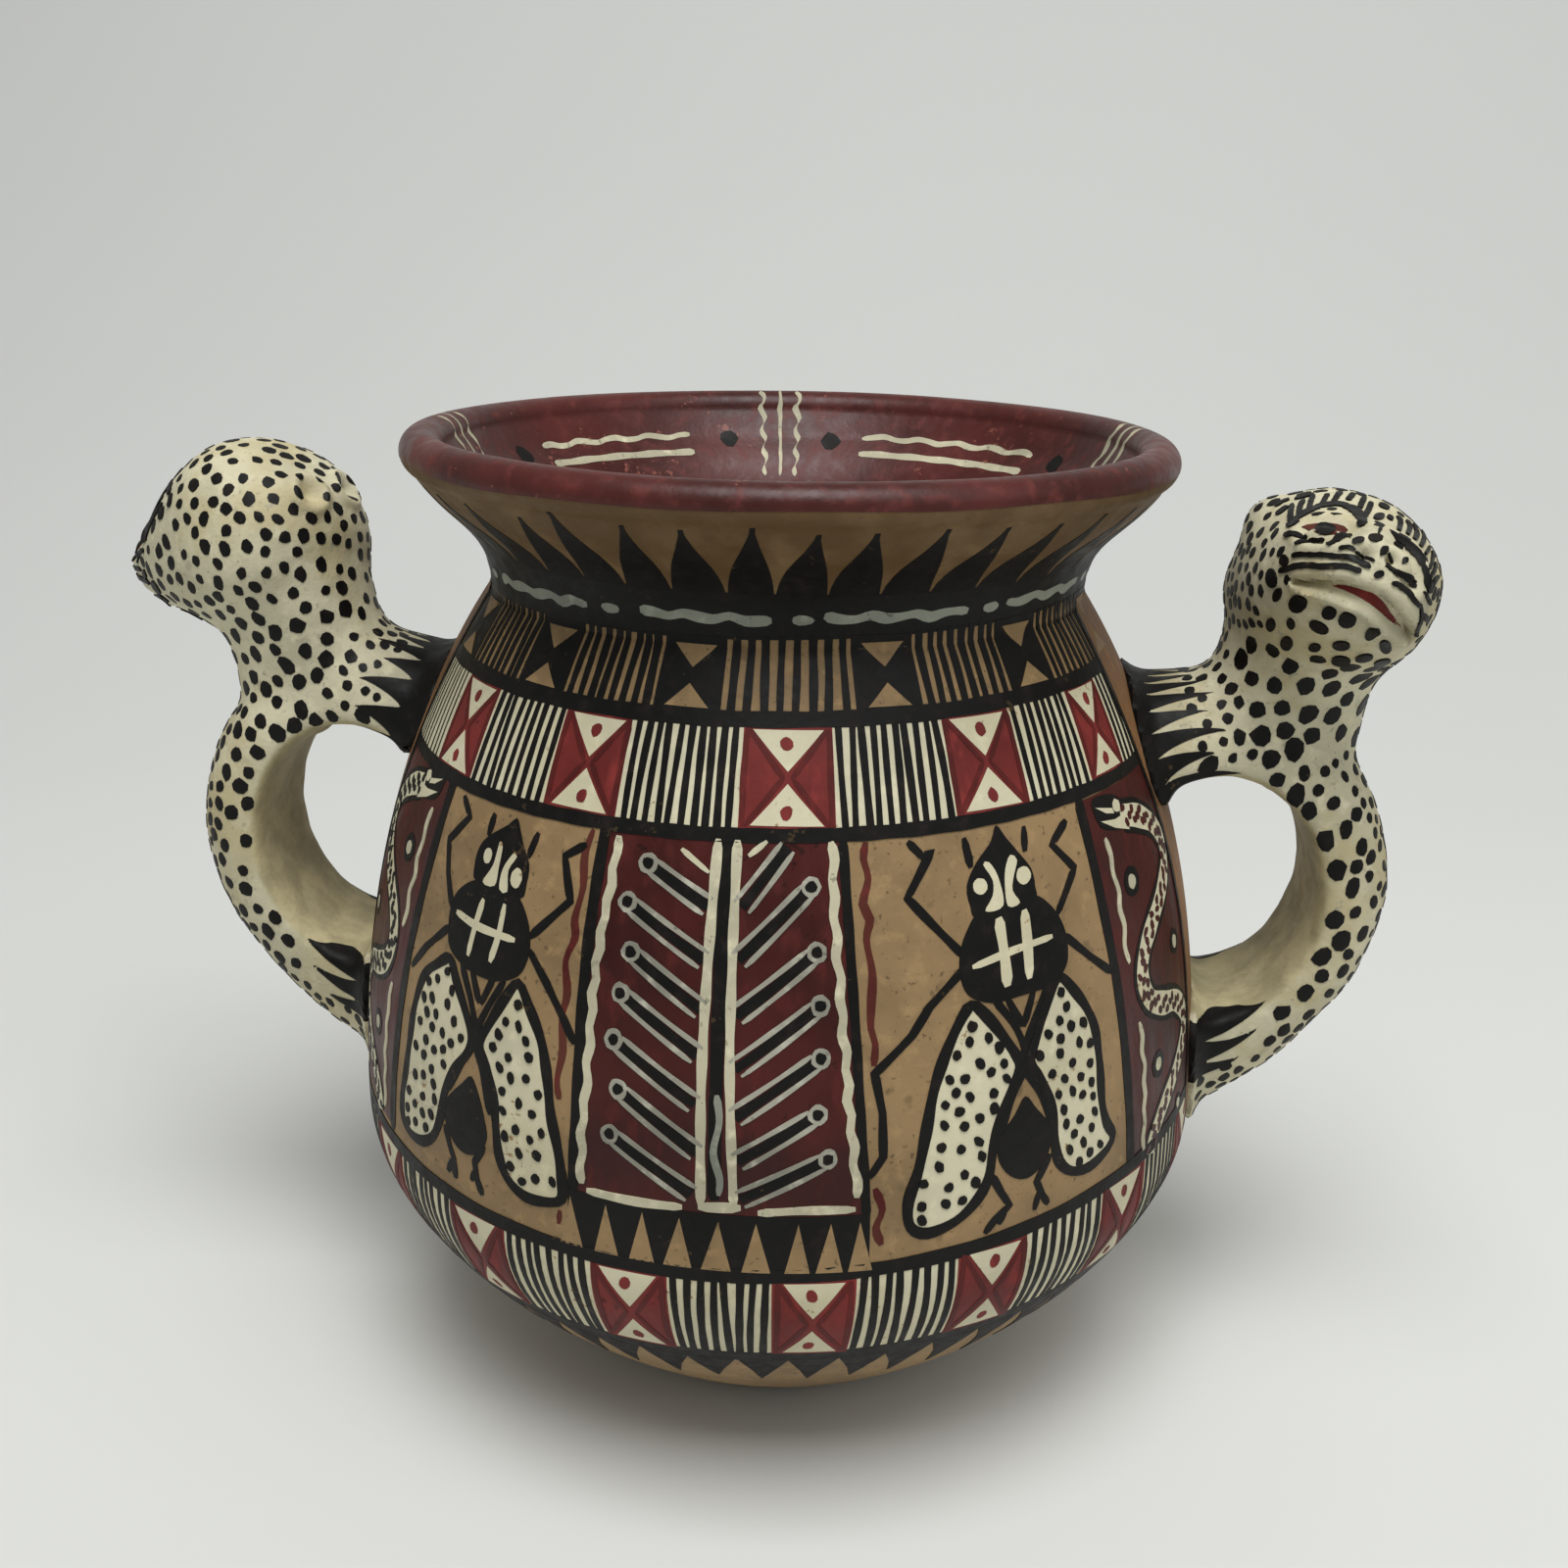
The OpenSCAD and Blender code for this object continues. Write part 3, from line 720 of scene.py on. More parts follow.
FLY_EAST = {
    "head": ((34.5, 113.3), (33.3, 111.4), (30.6, 109), (28.9, 106.4), (29.1, 103.8), (30.2, 102.3),
             (38.5, 102.9), (39.2, 104.6), (39, 107), (37.2, 109.6), (35.7, 111.6)),
    "thorax": ((30.2, 102.9), (34, 103.1), (38.8, 103.6), (41.6, 101.4), (43.1, 98.5), (43.3, 95.5),
               (42.5, 93.2), (39.8, 91.6), (35, 91.3), (31, 91.2), (27.9, 92.7), (26.9, 95.5),
               (27.2, 98.5), (28.4, 101)),
    "eyes": ((30.75, 106.1, 1.05, 1.05), (37.6, 106.4, 1.2, 1.15)),
    "face": (((31.6, 108.7), (32.5, 108.9), (33.6, 106.8), (33.8, 103.2), (31.1, 102.9), (32.4, 104.6),
              (32.7, 106.6)),
             ((36, 109.3), (36.9, 108.5), (36.0, 106.6), (35.5, 104.8), (36.4, 103.1), (34.5, 103),
              (34.5, 106.2), (35.1, 108.2))),
    "marks": (((32.9, 101.8), (33.2, 97), (33.3, 92.9), 1.55),
              ((36.9, 102.1), (36.8, 97.5), (36.6, 93.2), 1.5),
              ((28.6, 96.2), (34.5, 97.3), (40.9, 97.8), 0.95)),
    "feelers": (((29.3, 112.4), (29.8, 108.6)), ((39, 112.5), (38.5, 109.3))),
    "legs": (((21.3, 112.7), (23.3, 110.6), (24.4, 111.3), (20.7, 105.8), (23.6, 102.4), (27.6, 97.8)),
             ((46.9, 111.8), (43.3, 109.3), (46.7, 105.5), (42.3, 100.4)),
             ((27.6, 96.3), (22.8, 92), (20.5, 88.6), (16, 84.2), (16.9, 79), (17, 73.2), (15.4, 70.5)),
             ((43.0, 97.4), (47, 93.6), (51.0, 90.2)),
             ((30.4, 68.2), (31.8, 65.3), (33, 63.2), (31, 61.6), (29.7, 60)),
             ((32.4, 62.8), (31.6, 60.8)),
             ((38.8, 68.7), (36.8, 65.4), (37.7, 63.2), (38.7, 61.5)), ((37.2, 63.8), (36.6, 61.3))),
    "wings": (((28.2, 91.4), (30, 89.8), (31.8, 87.3), (33.8, 84), (34.5, 82.2), (33.7, 80.2), (31.8, 76.5),
               (30.6, 72), (30, 68), (28.6, 65.3), (26, 62.9), (22.5, 61.8), (20.4, 63), (20, 66.4),
               (21.2, 71), (22.1, 76), (23, 81), (24.5, 85.5), (26.4, 89.3)),
              ((41.6, 92.2), (43.5, 90), (45.5, 87), (46.8, 83.6), (47.3, 79), (47.6, 73), (48.5, 69.6),
               (49.8, 67.3), (48.8, 65.7), (45.5, 64.4), (42.4, 64.9), (40.3, 67), (39.5, 70), (39.2, 74),
               (38.3, 77.5), (37, 80.3), (35.9, 82.2), (37, 85.3), (38.8, 89.2), (40.3, 91.5))),
    "waist": (((31.2, 91.8), (34.2, 87.2), (35.3, 82.5), (33.3, 78.4), (31.6, 73.4)),
              ((39.4, 91.8), (36.5, 87), (34.9, 82.5), (37.2, 78), (38.9, 73.2)),
              ((33, 91.6), (35.1, 87.4)), ((37.2, 91.8), (35.2, 87.2))),
    "tail": ((35.1, 77.9), (36.6, 75.9), (38.5, 73.2), (38.9, 70.6), (37.9, 68), (36, 66.5), (34.2, 66.6),
             (32.4, 68), (31.2, 70.6), (31.7, 73.4), (33.6, 75.8)),
}
FLY_WEST = {
    "head": ((-33.3, 111.4), (-34.6, 110.2), (-37.8, 107.9), (-39.1, 106), (-39.2, 103.6), (-38, 101.6),
             (-30.2, 101.4), (-29.3, 103.8), (-29.5, 106.2), (-30.9, 108), (-32.3, 110.2)),
    "thorax": ((-38.5, 101.8), (-41.5, 99.5), (-42.4, 97), (-42.1, 94), (-41, 91.6), (-37, 90.1), (-32, 90.1),
               (-28.4, 91.8), (-27.2, 94.5), (-27.3, 97), (-28.4, 99.7), (-30.6, 101.9), (-34.5, 102.2)),
    "eyes": ((-37.0, 105.5, 0.8, 1.05), (-31.1, 104.0, 0.95, 1.3)),
    "face": (((-35.3, 107.8), (-34.6, 107.2), (-34.5, 104.6), (-34.6, 102.1), (-36.9, 102), (-35.6, 104.6)),
             ((-32.2, 107.2), (-31.7, 106.6), (-32.7, 104.6), (-32.2, 101.9), (-33.6, 101.9),
              (-33.7, 104.6))),
    "marks": (((-36.1, 99.9), (-36.8, 96), (-37.3, 91.9), 0.95),
              ((-32.2, 100.3), (-32.4, 96), (-33.2, 92.3), 0.95),
              ((-40.9, 96.8), (-36.5, 96.2), (-29.6, 96.2), 1.05)),
    "feelers": (((-37.6, 111), (-37.9, 108)), ((-29, 110.4), (-29.9, 107))),
    "legs": (((-45.4, 111.5), (-42.7, 109.3), (-46.2, 105.2), (-44.6, 101), (-42.2, 97)),
             ((-21.2, 110.4), (-24.1, 108.4), (-22.2, 103), (-24, 101), (-27.4, 97.2)),
             ((-41.9, 94.4), (-46.5, 90), (-49.6, 86)),
             ((-27.2, 95.6), (-24, 92), (-21.2, 88.2), (-19.4, 85.2)),
             ((-39, 67.3), (-38, 64.6), (-37.2, 63), (-38.4, 60.6)), ((-37.3, 63.2), (-36.9, 60.2)),
             ((-31.8, 67.2), (-33.4, 64.2), (-33, 61.8), (-32.1, 59.8)), ((-33.2, 63), (-34, 61.2))),
    "wings": (((-40.8, 90.3), (-39, 88), (-36.5, 84.5), (-34.9, 81.7), (-35.3, 79.3), (-37.5, 76),
               (-39.3, 72), (-40, 68), (-41.5, 64.4), (-44, 62.4), (-47, 62), (-49.2, 63.3), (-49.5, 66.5),
               (-48.6, 71),
               (-48, 76), (-47.5, 81), (-46, 86), (-43.3, 88.7)),
              ((-28.2, 90.9), (-26.3, 88.5), (-24, 84.5), (-22.8, 80), (-22, 75), (-21, 71), (-20.3, 67),
               (-20.3, 63.7), (-22.5, 62.6), (-25.5, 62.4), (-28, 64), (-29.4, 67), (-30, 71), (-30.6, 75),
               (-32, 78.5), (-33.5, 81), (-32, 84.5), (-30, 88.4))),
    "waist": (((-38.3, 90.6), (-35.6, 86), (-34.2, 81.5), (-36.2, 77.6), (-38.8, 72.4)),
              ((-30.4, 90.6), (-32.8, 86), (-34.3, 81.5), (-32.6, 77.4), (-31, 72)),
              ((-36.3, 90.6), (-34.2, 86.4)), ((-32.2, 90.6), (-33.9, 86.4))),
    "tail": ((-34.5, 76.1), (-33, 74), (-31.9, 71), (-31.4, 68.4), (-32.6, 66), (-34.5, 64.8), (-36.6, 65.1),
             (-38.5, 67), (-39.4, 69.9), (-38.1, 72.2), (-36, 74.6)),
}
SNAKE = ((59.6, 109.4), (64.6, 108.0), (69.2, 105.6), (71.9, 102.4), (71.2, 99.0), (68, 96.2), (63.4, 93.4),
         (59.8, 90.6), (58.2, 87.0), (59.6, 83.2), (63.6, 80.9), (68.4, 79.2), (72.3, 75.6), (71.6, 72),
         (67.6, 68.6), (63, 65.4), (60.2, 62.4), (59.3, 59.8))
SNAKE_LEFT, SNAKE_RIGHT = 50.6, 75.4
STRIP_EDGE = ((73.0, 137.6), (72.0, 132.0), (71.6, 125.0), (72.0, 118.0), (72.8, 112.0), (74.6, 104.0),
              (75.8, 92.0), (76.0, 78.0), (75.6, 66.0), (75.0, 58.5))
STRIP_BACK = 90.0
SNAKE_OVALS = ((58.9, 100.3, 2.1), (70.2, 87.5, 1.9), (61.2, 72.8, 2.0), (69.4, 62.6, 1.6))
RUST_LINES = (((15.7, 113), (15.3, 111), (15.8, 108.5), (15.0, 105.5), (15.8, 103.5), (15.3, 101), (15.9, 97),
               (15.7, 93), (15.6, 90), (16.1, 88), (15.9, 85.2)),
              ((16.1, 69), (17, 66), (16.3, 63.5), (17, 61)),
              ((-20.6, 112.4), (-21.2, 109), (-20.7, 105), (-21.2, 101), (-20.8, 98.6), (-21.7, 95.5),
               (-21, 91.5), (-21.4, 88), (-20.9, 84), (-21.4, 80), (-21, 77.4)), ((-20.5, 62), (-20.7, 60)))


def waved(points, step, size, hand):
    """A painter's wavering line through the given points"""
    path = smooth_path(points, step)
    return [(a + size * (1 if k % 2 else -1) * hand.uniform(0.4, 1.0), s) for k, (a, s) in enumerate(path)]


def paint_fern(about, maroon, black, white, thin, tan, grey, eyes, hand):
    """One fern panel: maroon ground, a stem, and branches that end in rings"""
    def at(points):
        return [(a + about, s) for a, s in points]
    maroon.field(at(FERN_LEFT) + at(FERN_RIGHT)[::-1])
    black.line(at(FERN_LEFT), 1.6, waver=0.06)
    black.line(at(FERN_RIGHT), 1.25, waver=0.06)
    white.line(at(waved(((-16.6, 112.2), (-17, 104), (-17.5, 96), (-17.4, 88), (-17.6, 78), (-17.8, 66.8)),
                        2.6, 0.28, hand)), 1.2)
    white.line(at(waved(((11.3, 113.2), (11.5, 104), (12.1, 94), (12.7, 85), (13.3, 77), (14.2, 68)),
                        2.6, 0.25, hand)), 1.15)
    black.line(at(FERN_STEM), 1.7, waver=0.05)
    grey.line(at(((-1.9, 81.5), (-1.5, 78), (-2.1, 74), (-1.3, 70.5), (-1.4, 68.2))), 0.9)
    white.line(at(((-3.3, 113.2), (-3.6, 98), (-3.7, 83), (-3.4, 66.6))), 1.25)
    white.line(at(((-0.8, 113.2), (-0.7, 98), (-0.5, 84), (0.3, 66.8))), 1.2)
    white.line(at(((-8, 111.6), (-4.2, 109))), 0.7)
    white.line(at(((0.7, 111.3), (3, 113.2))), 0.8)
    for ring, foot in FERN_WEST + FERN_EAST + (((6.0, 113.0), (0.1, 105.0)),):
        run = np.array(ring) - np.array(foot)
        run /= np.linalg.norm(run)
        side = np.array([-run[1], run[0]]) * 1.12
        start = np.array(ring) - run * 0.6
        black.line(at((foot, start)), 1.25, blunt=True)
        thin.line(at((np.array(foot) + side, start + side * 0.85)), 0.62)
        thin.line(at((np.array(foot) - side, start - side * 0.85)), 0.62)
        if ring[1] < 112:
            thin.dot(ring[0] + about, ring[1], 1.25, 1.35, sides=14, rough=0.08)
    for ring, _ in FERN_WEST + FERN_EAST:
        eyes.dot(ring[0] + about, ring[1], 0.72, 0.75, sides=10)
    black.field(at(((-19.4, 57.2), (15.6, 57.2), (15.6, 65.6), (-19.4, 65.6))))
    white.line(at(((-17, 66), (-11, 65.9), (-5.5, 66.1))), 1.2)
    white.line(at(((-3.7, 66.4), (1.1, 66.7))), 1.3)
    white.line(at(((3, 66.1), (8, 66.5), (13.9, 66.4))), 1.1)
    for tip in (-18.9, -14.5, -10.2, -6.0, -1.6, 2.9, 7.5, 11.1, 14.6):
        base, point = 1.5 + hand.uniform(-0.15, 0.2), tip + hand.uniform(-0.2, 0.2)
        tan.field(at(((tip - base, 57.6), (tip + base, 57.6), (point, 64.6))), grid=2.0)


def paint_fly(fly, about, black, cream, pale, spots):
    """One long-winged fly, drawn in black with cream marks and spotted wings"""
    def at(points):
        return [(a + about, s) for a, s in points]
    for outline in (fly["head"], fly["thorax"], fly["tail"]):
        black.field(at(outline), step=0.9, smooth=True)
    for wing in fly["wings"]:
        cream.field(at(wing), step=1.1, smooth=True)
        black.line(at(wing), 1.5, closed=True, waver=0.12)
        spots.daubs_in(at(wing), 0.66, 1.95, clear=1.3, lean=0.4)
    for path in fly["waist"]:
        black.line(at(path), 1.05)
    for path in fly["feelers"]:
        black.line(at(path), 1.1)
    for path in fly["legs"]:
        black.line(at(path), 1.1, smooth=False, step=0.9)
    for a, s, wide, high in fly["eyes"]:
        pale.dot(a + about, s, wide, high, sides=14, rough=0.05)
    for outline in fly["face"]:
        pale.field(at(outline), step=0.8, smooth=True)
    for mark in fly["marks"]:
        pale.line(at(mark[:3]), mark[3])


def paint_snake(place, about_back, maroon, black, cream, white, spots, hand):
    """One snake panel; place turns its own angles into angles on the wall"""
    def at(points):
        return [(place(a) + about_back, s) for a, s in points]
    edge = [(SNAKE_LEFT, 113.5), (72.2, 113.8), (74.2, 104), (SNAKE_RIGHT, 90), (SNAKE_RIGHT, 75),
            (75.0, 60.8), (62, 60.4), (54.6, 60.0), (53.5, 75), (52.4, 90), (51.2, 104)]
    maroon.field(at(edge))
    black.line(at(((50.3, 114), (51, 100), (52, 88), (53, 74), (54.2, 59.5))), 1.9, waver=0.05)
    black.line(at(((72.3, 114), (74.3, 104), (75.5, 90), (75.6, 75), (75.1, 60.5))), 1.4, waver=0.08)
    black.line(at(SNAKE), 4.9, waver=0.04)
    black.field(at(((53, 112.6), (55, 113.2), (59, 112.5), (61.6, 110.4), (61.4, 107.6), (57.5, 107.9),
                    (53.9, 109.2))), smooth=True)
    cream.line(at(SNAKE), 3.3, waver=0.06)
    cream.field(at(((53.7, 111.9), (57.8, 110.9), (58, 110.1), (56, 110.6))), step=0.8)
    cream.field(at(((54.2, 109.9), (58, 109.3), (61, 109.4), (61.2, 107), (57.5, 108.2))), step=0.8)
    cream.dot(place(59.1) + about_back, 110.9, 0.95, 0.9, sides=12)
    path = smooth_path(SNAKE, 1.0)
    along = np.gradient(path, axis=0)
    along /= np.linalg.norm(along, axis=1)[:, None]
    for k in range(1, len(path) - 1):
        side = np.array([-along[k][1], along[k][0]]) * (0.0, 0.9, -0.9)[k % 3]
        a, s = path[k] + side * hand.uniform(0.6, 1.2)
        spots.dot(place(a) + about_back, s, 0.55, 0.8, hand.uniform(0, 3), sides=7, rough=0.25)
    for middle_a, middle_s, size in SNAKE_OVALS:
        black.dot(place(middle_a) + about_back, middle_s, size, size, sides=16, rough=0.05)
        white.dot(place(middle_a) + about_back, middle_s, 0.5 * size, 0.5 * size, sides=12, rough=0.08)
    white.line(at(waved(((54.6, 107.5), (54.8, 100), (55.0, 90)), 2.6, 0.4, hand)), 0.95)
    white.line(at(waved(((56.5, 81), (57.1, 72), (57.0, 61.5)), 2.6, 0.3, hand)), 0.95)


def mirrored(a):
    """The left snake is the right one turned over, a little nearer the front"""
    return 1.2 - a


def paint_strips():
    """The bare clay strips that stop the painting beside each handle, and their black edges"""
    bare = WallSlip("side_strips", "strip", 3, seed=45)
    edge = WallSlip("side_edges", "black", 3, seed=46)
    for about, over in ((0.0, 1), (0.0, -1), (180.0, 1), (180.0, -1)):
        path = [(about + over * a, s) for a, s in STRIP_EDGE]
        back = [(about + over * (STRIP_BACK + 0.4), s) for _, s in STRIP_EDGE]
        bare.field(path + back[::-1], grid=2.0)
        edge.line([(a - over * 0.4, s) for a, s in path], 1.3, waver=0.12)
    return [bare.build(), edge.build()]


def paint_panels():
    """All panels of the belly, on the front and again on the back"""
    hand = random.Random(31)
    every = [WallSlip(*coat) for coat in PANEL_COATS]
    maroon, cream, rust, black, snakes, white, thin, tan, pale, grey, brown, spots = every
    for turn in (0.0, 180.0):
        paint_fern(turn, maroon, black, white, thin, tan, grey, spots, hand)
        paint_fly(FLY_EAST, turn, black, cream, pale, spots)
        paint_fly(FLY_WEST, turn, black, cream, pale, spots)
        paint_snake(lambda a: a, turn, maroon, black, snakes, white, brown, hand)
        paint_snake(mirrored, turn, maroon, black, snakes, white, spots, hand)
        for path in RUST_LINES:
            rust.line([(a + turn, s) for a, s in path], 1.0, waver=0.2)
    return [coat.build() for coat in every]


# ---- Body and rim ----
def throw_body():
    """The thrown wall from the flat foot over the lip to the inside floor"""
    s = np.concatenate([np.arange(0, 8, 0.8), np.arange(8, 150, 1.5), np.arange(150, 176, 0.5),
                        np.arange(176, S_FLOOR - 32, 1.8), np.arange(S_FLOOR - 32, S_FLOOR, 1.0), [S_FLOOR]])
    a = np.arange(TURNS) * 360.0 / TURNS
    points = [p for level in s for p in wall_points(a, np.full(TURNS, level))]
    faces = ring_quads(len(s), TURNS)
    last = (len(s) - 1) * TURNS
    points += [(0.0, 0.0, 0.0), (0.0, 0.0, float(points[last][2]))]
    foot, floor = len(points) - 2, len(points) - 1
    for i in range(TURNS):
        j = (i + 1) % TURNS
        faces += [(foot, j, i), (last + i, last + j, floor)]
    return new_piece("vase_body", points, faces, slip("clay"), smooth=50.0)


def coat_rim():
    """The coat over the lip, between two edges that waver all the way round"""
    a = np.arange(TURNS) * 360.0 / TURNS
    low = RIM_EDGE + 0.25 * np.sin(np.radians(3 * a + 20)) + 0.12 * np.sin(np.radians(11 * a))
    high = RIM_DEPTH + 0.9 * np.sin(np.radians(4 * a)) + 0.5 * np.sin(np.radians(9 * a + 50))
    shares = np.concatenate([np.linspace(0, 0.32, 26), np.linspace(0.34, 1.0, 24)])
    s = (low + (high - low) * shares[:, None]).ravel()
    points = np.vstack([wall_points(np.tile(a, len(shares)), s, lift) for lift in (RIM_LIFT, SUNK)])
    return new_piece("rim_coat", points, close_slab(len(s), ring_quads(len(shares), TURNS)), slip("rim"))


def paint_rim():
    """The maroon coat over the lip and down inside, with its pale and dark marks"""
    hand = random.Random(51)
    coat = coat_rim()
    white = WallSlip("rim_white", "white", 1, seed=52)
    dark = WallSlip("rim_dots", "black", 1, seed=53)
    for middle, level in ((5.0, 168.2), (104.5, 165.4), (187.2, 165.4), (266.5, 165.4)):
        for offset, sway in ((-3.5, 0.5), (0.0, 0.06), (3.5, 0.5)):
            path = [(middle + offset + sway * math.sin(1.9 * k), level + k * 1.2) for k in range(16)]
            white.line(path, 1.25)
    for first, last in ((24.0, 84.0), (129.0, 170.0), (206.5, 244.6), (286.0, 344.0)):
        for level, sway in ((175.3, 0.32), (178.8, 0.05)):
            path = [(a, level + sway * math.sin(0.75 * a)) for a in np.arange(first, last, 2.4)]
            white.line(path, 1.05 + 0.25 * (sway < 0.1))
    for a in (16.0, 94.0, 121.0, 176.5, 198.2, 249.5, 283.5, 354.0):
        dark.dot(a, 176.2 + hand.uniform(-0.3, 0.3), 1.7, 1.7, rough=0.16)
    return [coat, white.build(), dark.build()]


# ---- Handles: strap, nape and head, made in the right handle's own place ----
STRAP_W, STRAP_T, GAP_W, GAP_H = 23.0, 12.0, 15.0, 36.0
GAP_X, GAP_Z, ROOT_FLARE, LEFT_RISE = 64.5, 76.0, 8.0, 2.0
SKULL_W, SKULL_H, HEAD_L, SKULL_BACK = 27.5, 27.5, 42.0, 13.44
NAPE_W, NAPE_X, HEAD_Z, HEAD_REACH = 23.0, 74.5, 120.0, 3.0
HANDLES = {
    "right": {"flare": 6.0, "turn": 88, "lift": 18, "tilt": 18, "round": 0, "rise": 0.0, "seed": 61},
    "left": {"flare": 3.0, "turn": 24, "lift": -13, "tilt": 0, "round": 180, "rise": LEFT_RISE, "seed": 71},
}
NAPE_RINGS = ((-4, 4.5, 0.62, 0.6), (3, 0.6, 0.86, 0.84), (6, -2.4, 1.15, 0.88), (8, -3.2, 1.25, 0.9),
              (10, -2.3, 1.16, 0.92), (12, -1.3, 1.08, 0.94), (14, -0.5, 1.03, 0.97), (17, 0.8, 1.05, 1.02),
              (20, 2, 1.09, 1.07), (24, 2.8, 1.08, 1.1), (28, 3, 1, 1))
HEAD_RINGS = ((0.02, 0.16, 0.02, 0.12), (0.05, 0.46, 0.32, 0.5), (0.12, 0.71, 0.66, 0.78),
              (0.21, 0.92, 0.86, 0.95), (0.32, 1.06, 0.95, 1), (0.44, 1.09, 0.94, 1),
              (0.56, 0.97, 0.86, 0.95), (0.67, 0.77, 0.76, 0.88), (0.78, 0.6, 0.64, 0.77),
              (0.88, 0.43, 0.5, 0.62), (0.95, 0.3, 0.36, 0.45), (0.99, 0.14, 0.18, 0.22))
EAR_AT, EAR_SIZE = (-9.2, 4.6, 5.3), (2.4, 3.0, 2.6)
MOUTH_TURN = (-44, -41, -30, -20, -12, -5, 2, 8, 16, 27, 38, 50, 56)
MOUTH_TOP = (-3.9, -3.7, -3.4, -3.0, -2.75, -2.7, -2.65, -3.1, -3.9, -4.35, -4.5, -4.9, -5.4)
MOUTH_LOW = (-4.1, -4.3, -4.55, -4.7, -4.9, -5.0, -5.25, -5.6, -5.95, -6.0, -5.95, -5.75, -5.5)
RED_LOW = (-3.9, -3.7, -3.4, -3.3, -3.5, -3.72, -4.1, -4.45, -4.85, -4.9, -4.5, -4.9, -5.4)
RED_ENDS = (-21.0, 36.0)
FACES = {
    "right": {"eyes": (((22.7, -7.4, 3.8), 0, 4.3, 2.8), ((27.6, 2.5, 2.0), -45, 3.5, 2.3)),
              "nostrils": ((27.8, -2.8, 1.3), (27.9, 0.6, 1.7)),
              "ears": ((-11.3, -5.2, 6.1), (-11.3, 5.2, 6.1)), "bumps": (((2.5, -12.2, 7.0), 3.8, 1.9),),
              "lip": 1.0, "plump": 0.02, "stretch": 0.94, "droop": 0.0, "point": 0.0},
    "left": {"eyes": (((22.7, 7.4, 3.8), 0, 4.3, 2.8), ((22.7, -7.4, 3.8), 0, 4.3, 2.8)),
             "nostrils": ((27.6, 2.5, 1.7), (27.6, -2.5, 1.7)),
             "ears": ((-11.3, 2.8, 6.0), (-10.9, -5.6, 6.0)), "bumps": (((-10.8, 3.0, 5.4), 3.6, 0.7),),
             "lip": 0.4, "plump": 0.1, "stretch": 1.06, "droop": 0.5, "point": 0.2},
}
# Reach of a head round its middle, where its face begins, and a field value that takes no slip
SKULL_REACH, FACE_FRONT, OUTSIDE = 34, 12, 5.0
# How far the face's carving goes in or stands out, in millimetres
EYE_SINK, EYEBALL, EYE_RIM = 1.05, 1.2, 0.35
NOSTRIL_RIM, NOSTRIL_PIT = 0.9, 2.5
EAR_RIM, EAR_SINK = 0.75, 1.5
MOUTH_SINK, LOWER_LIP, UPPER_LIP = 2.1, 0.75, 0.45
BRIDGE = 0.5
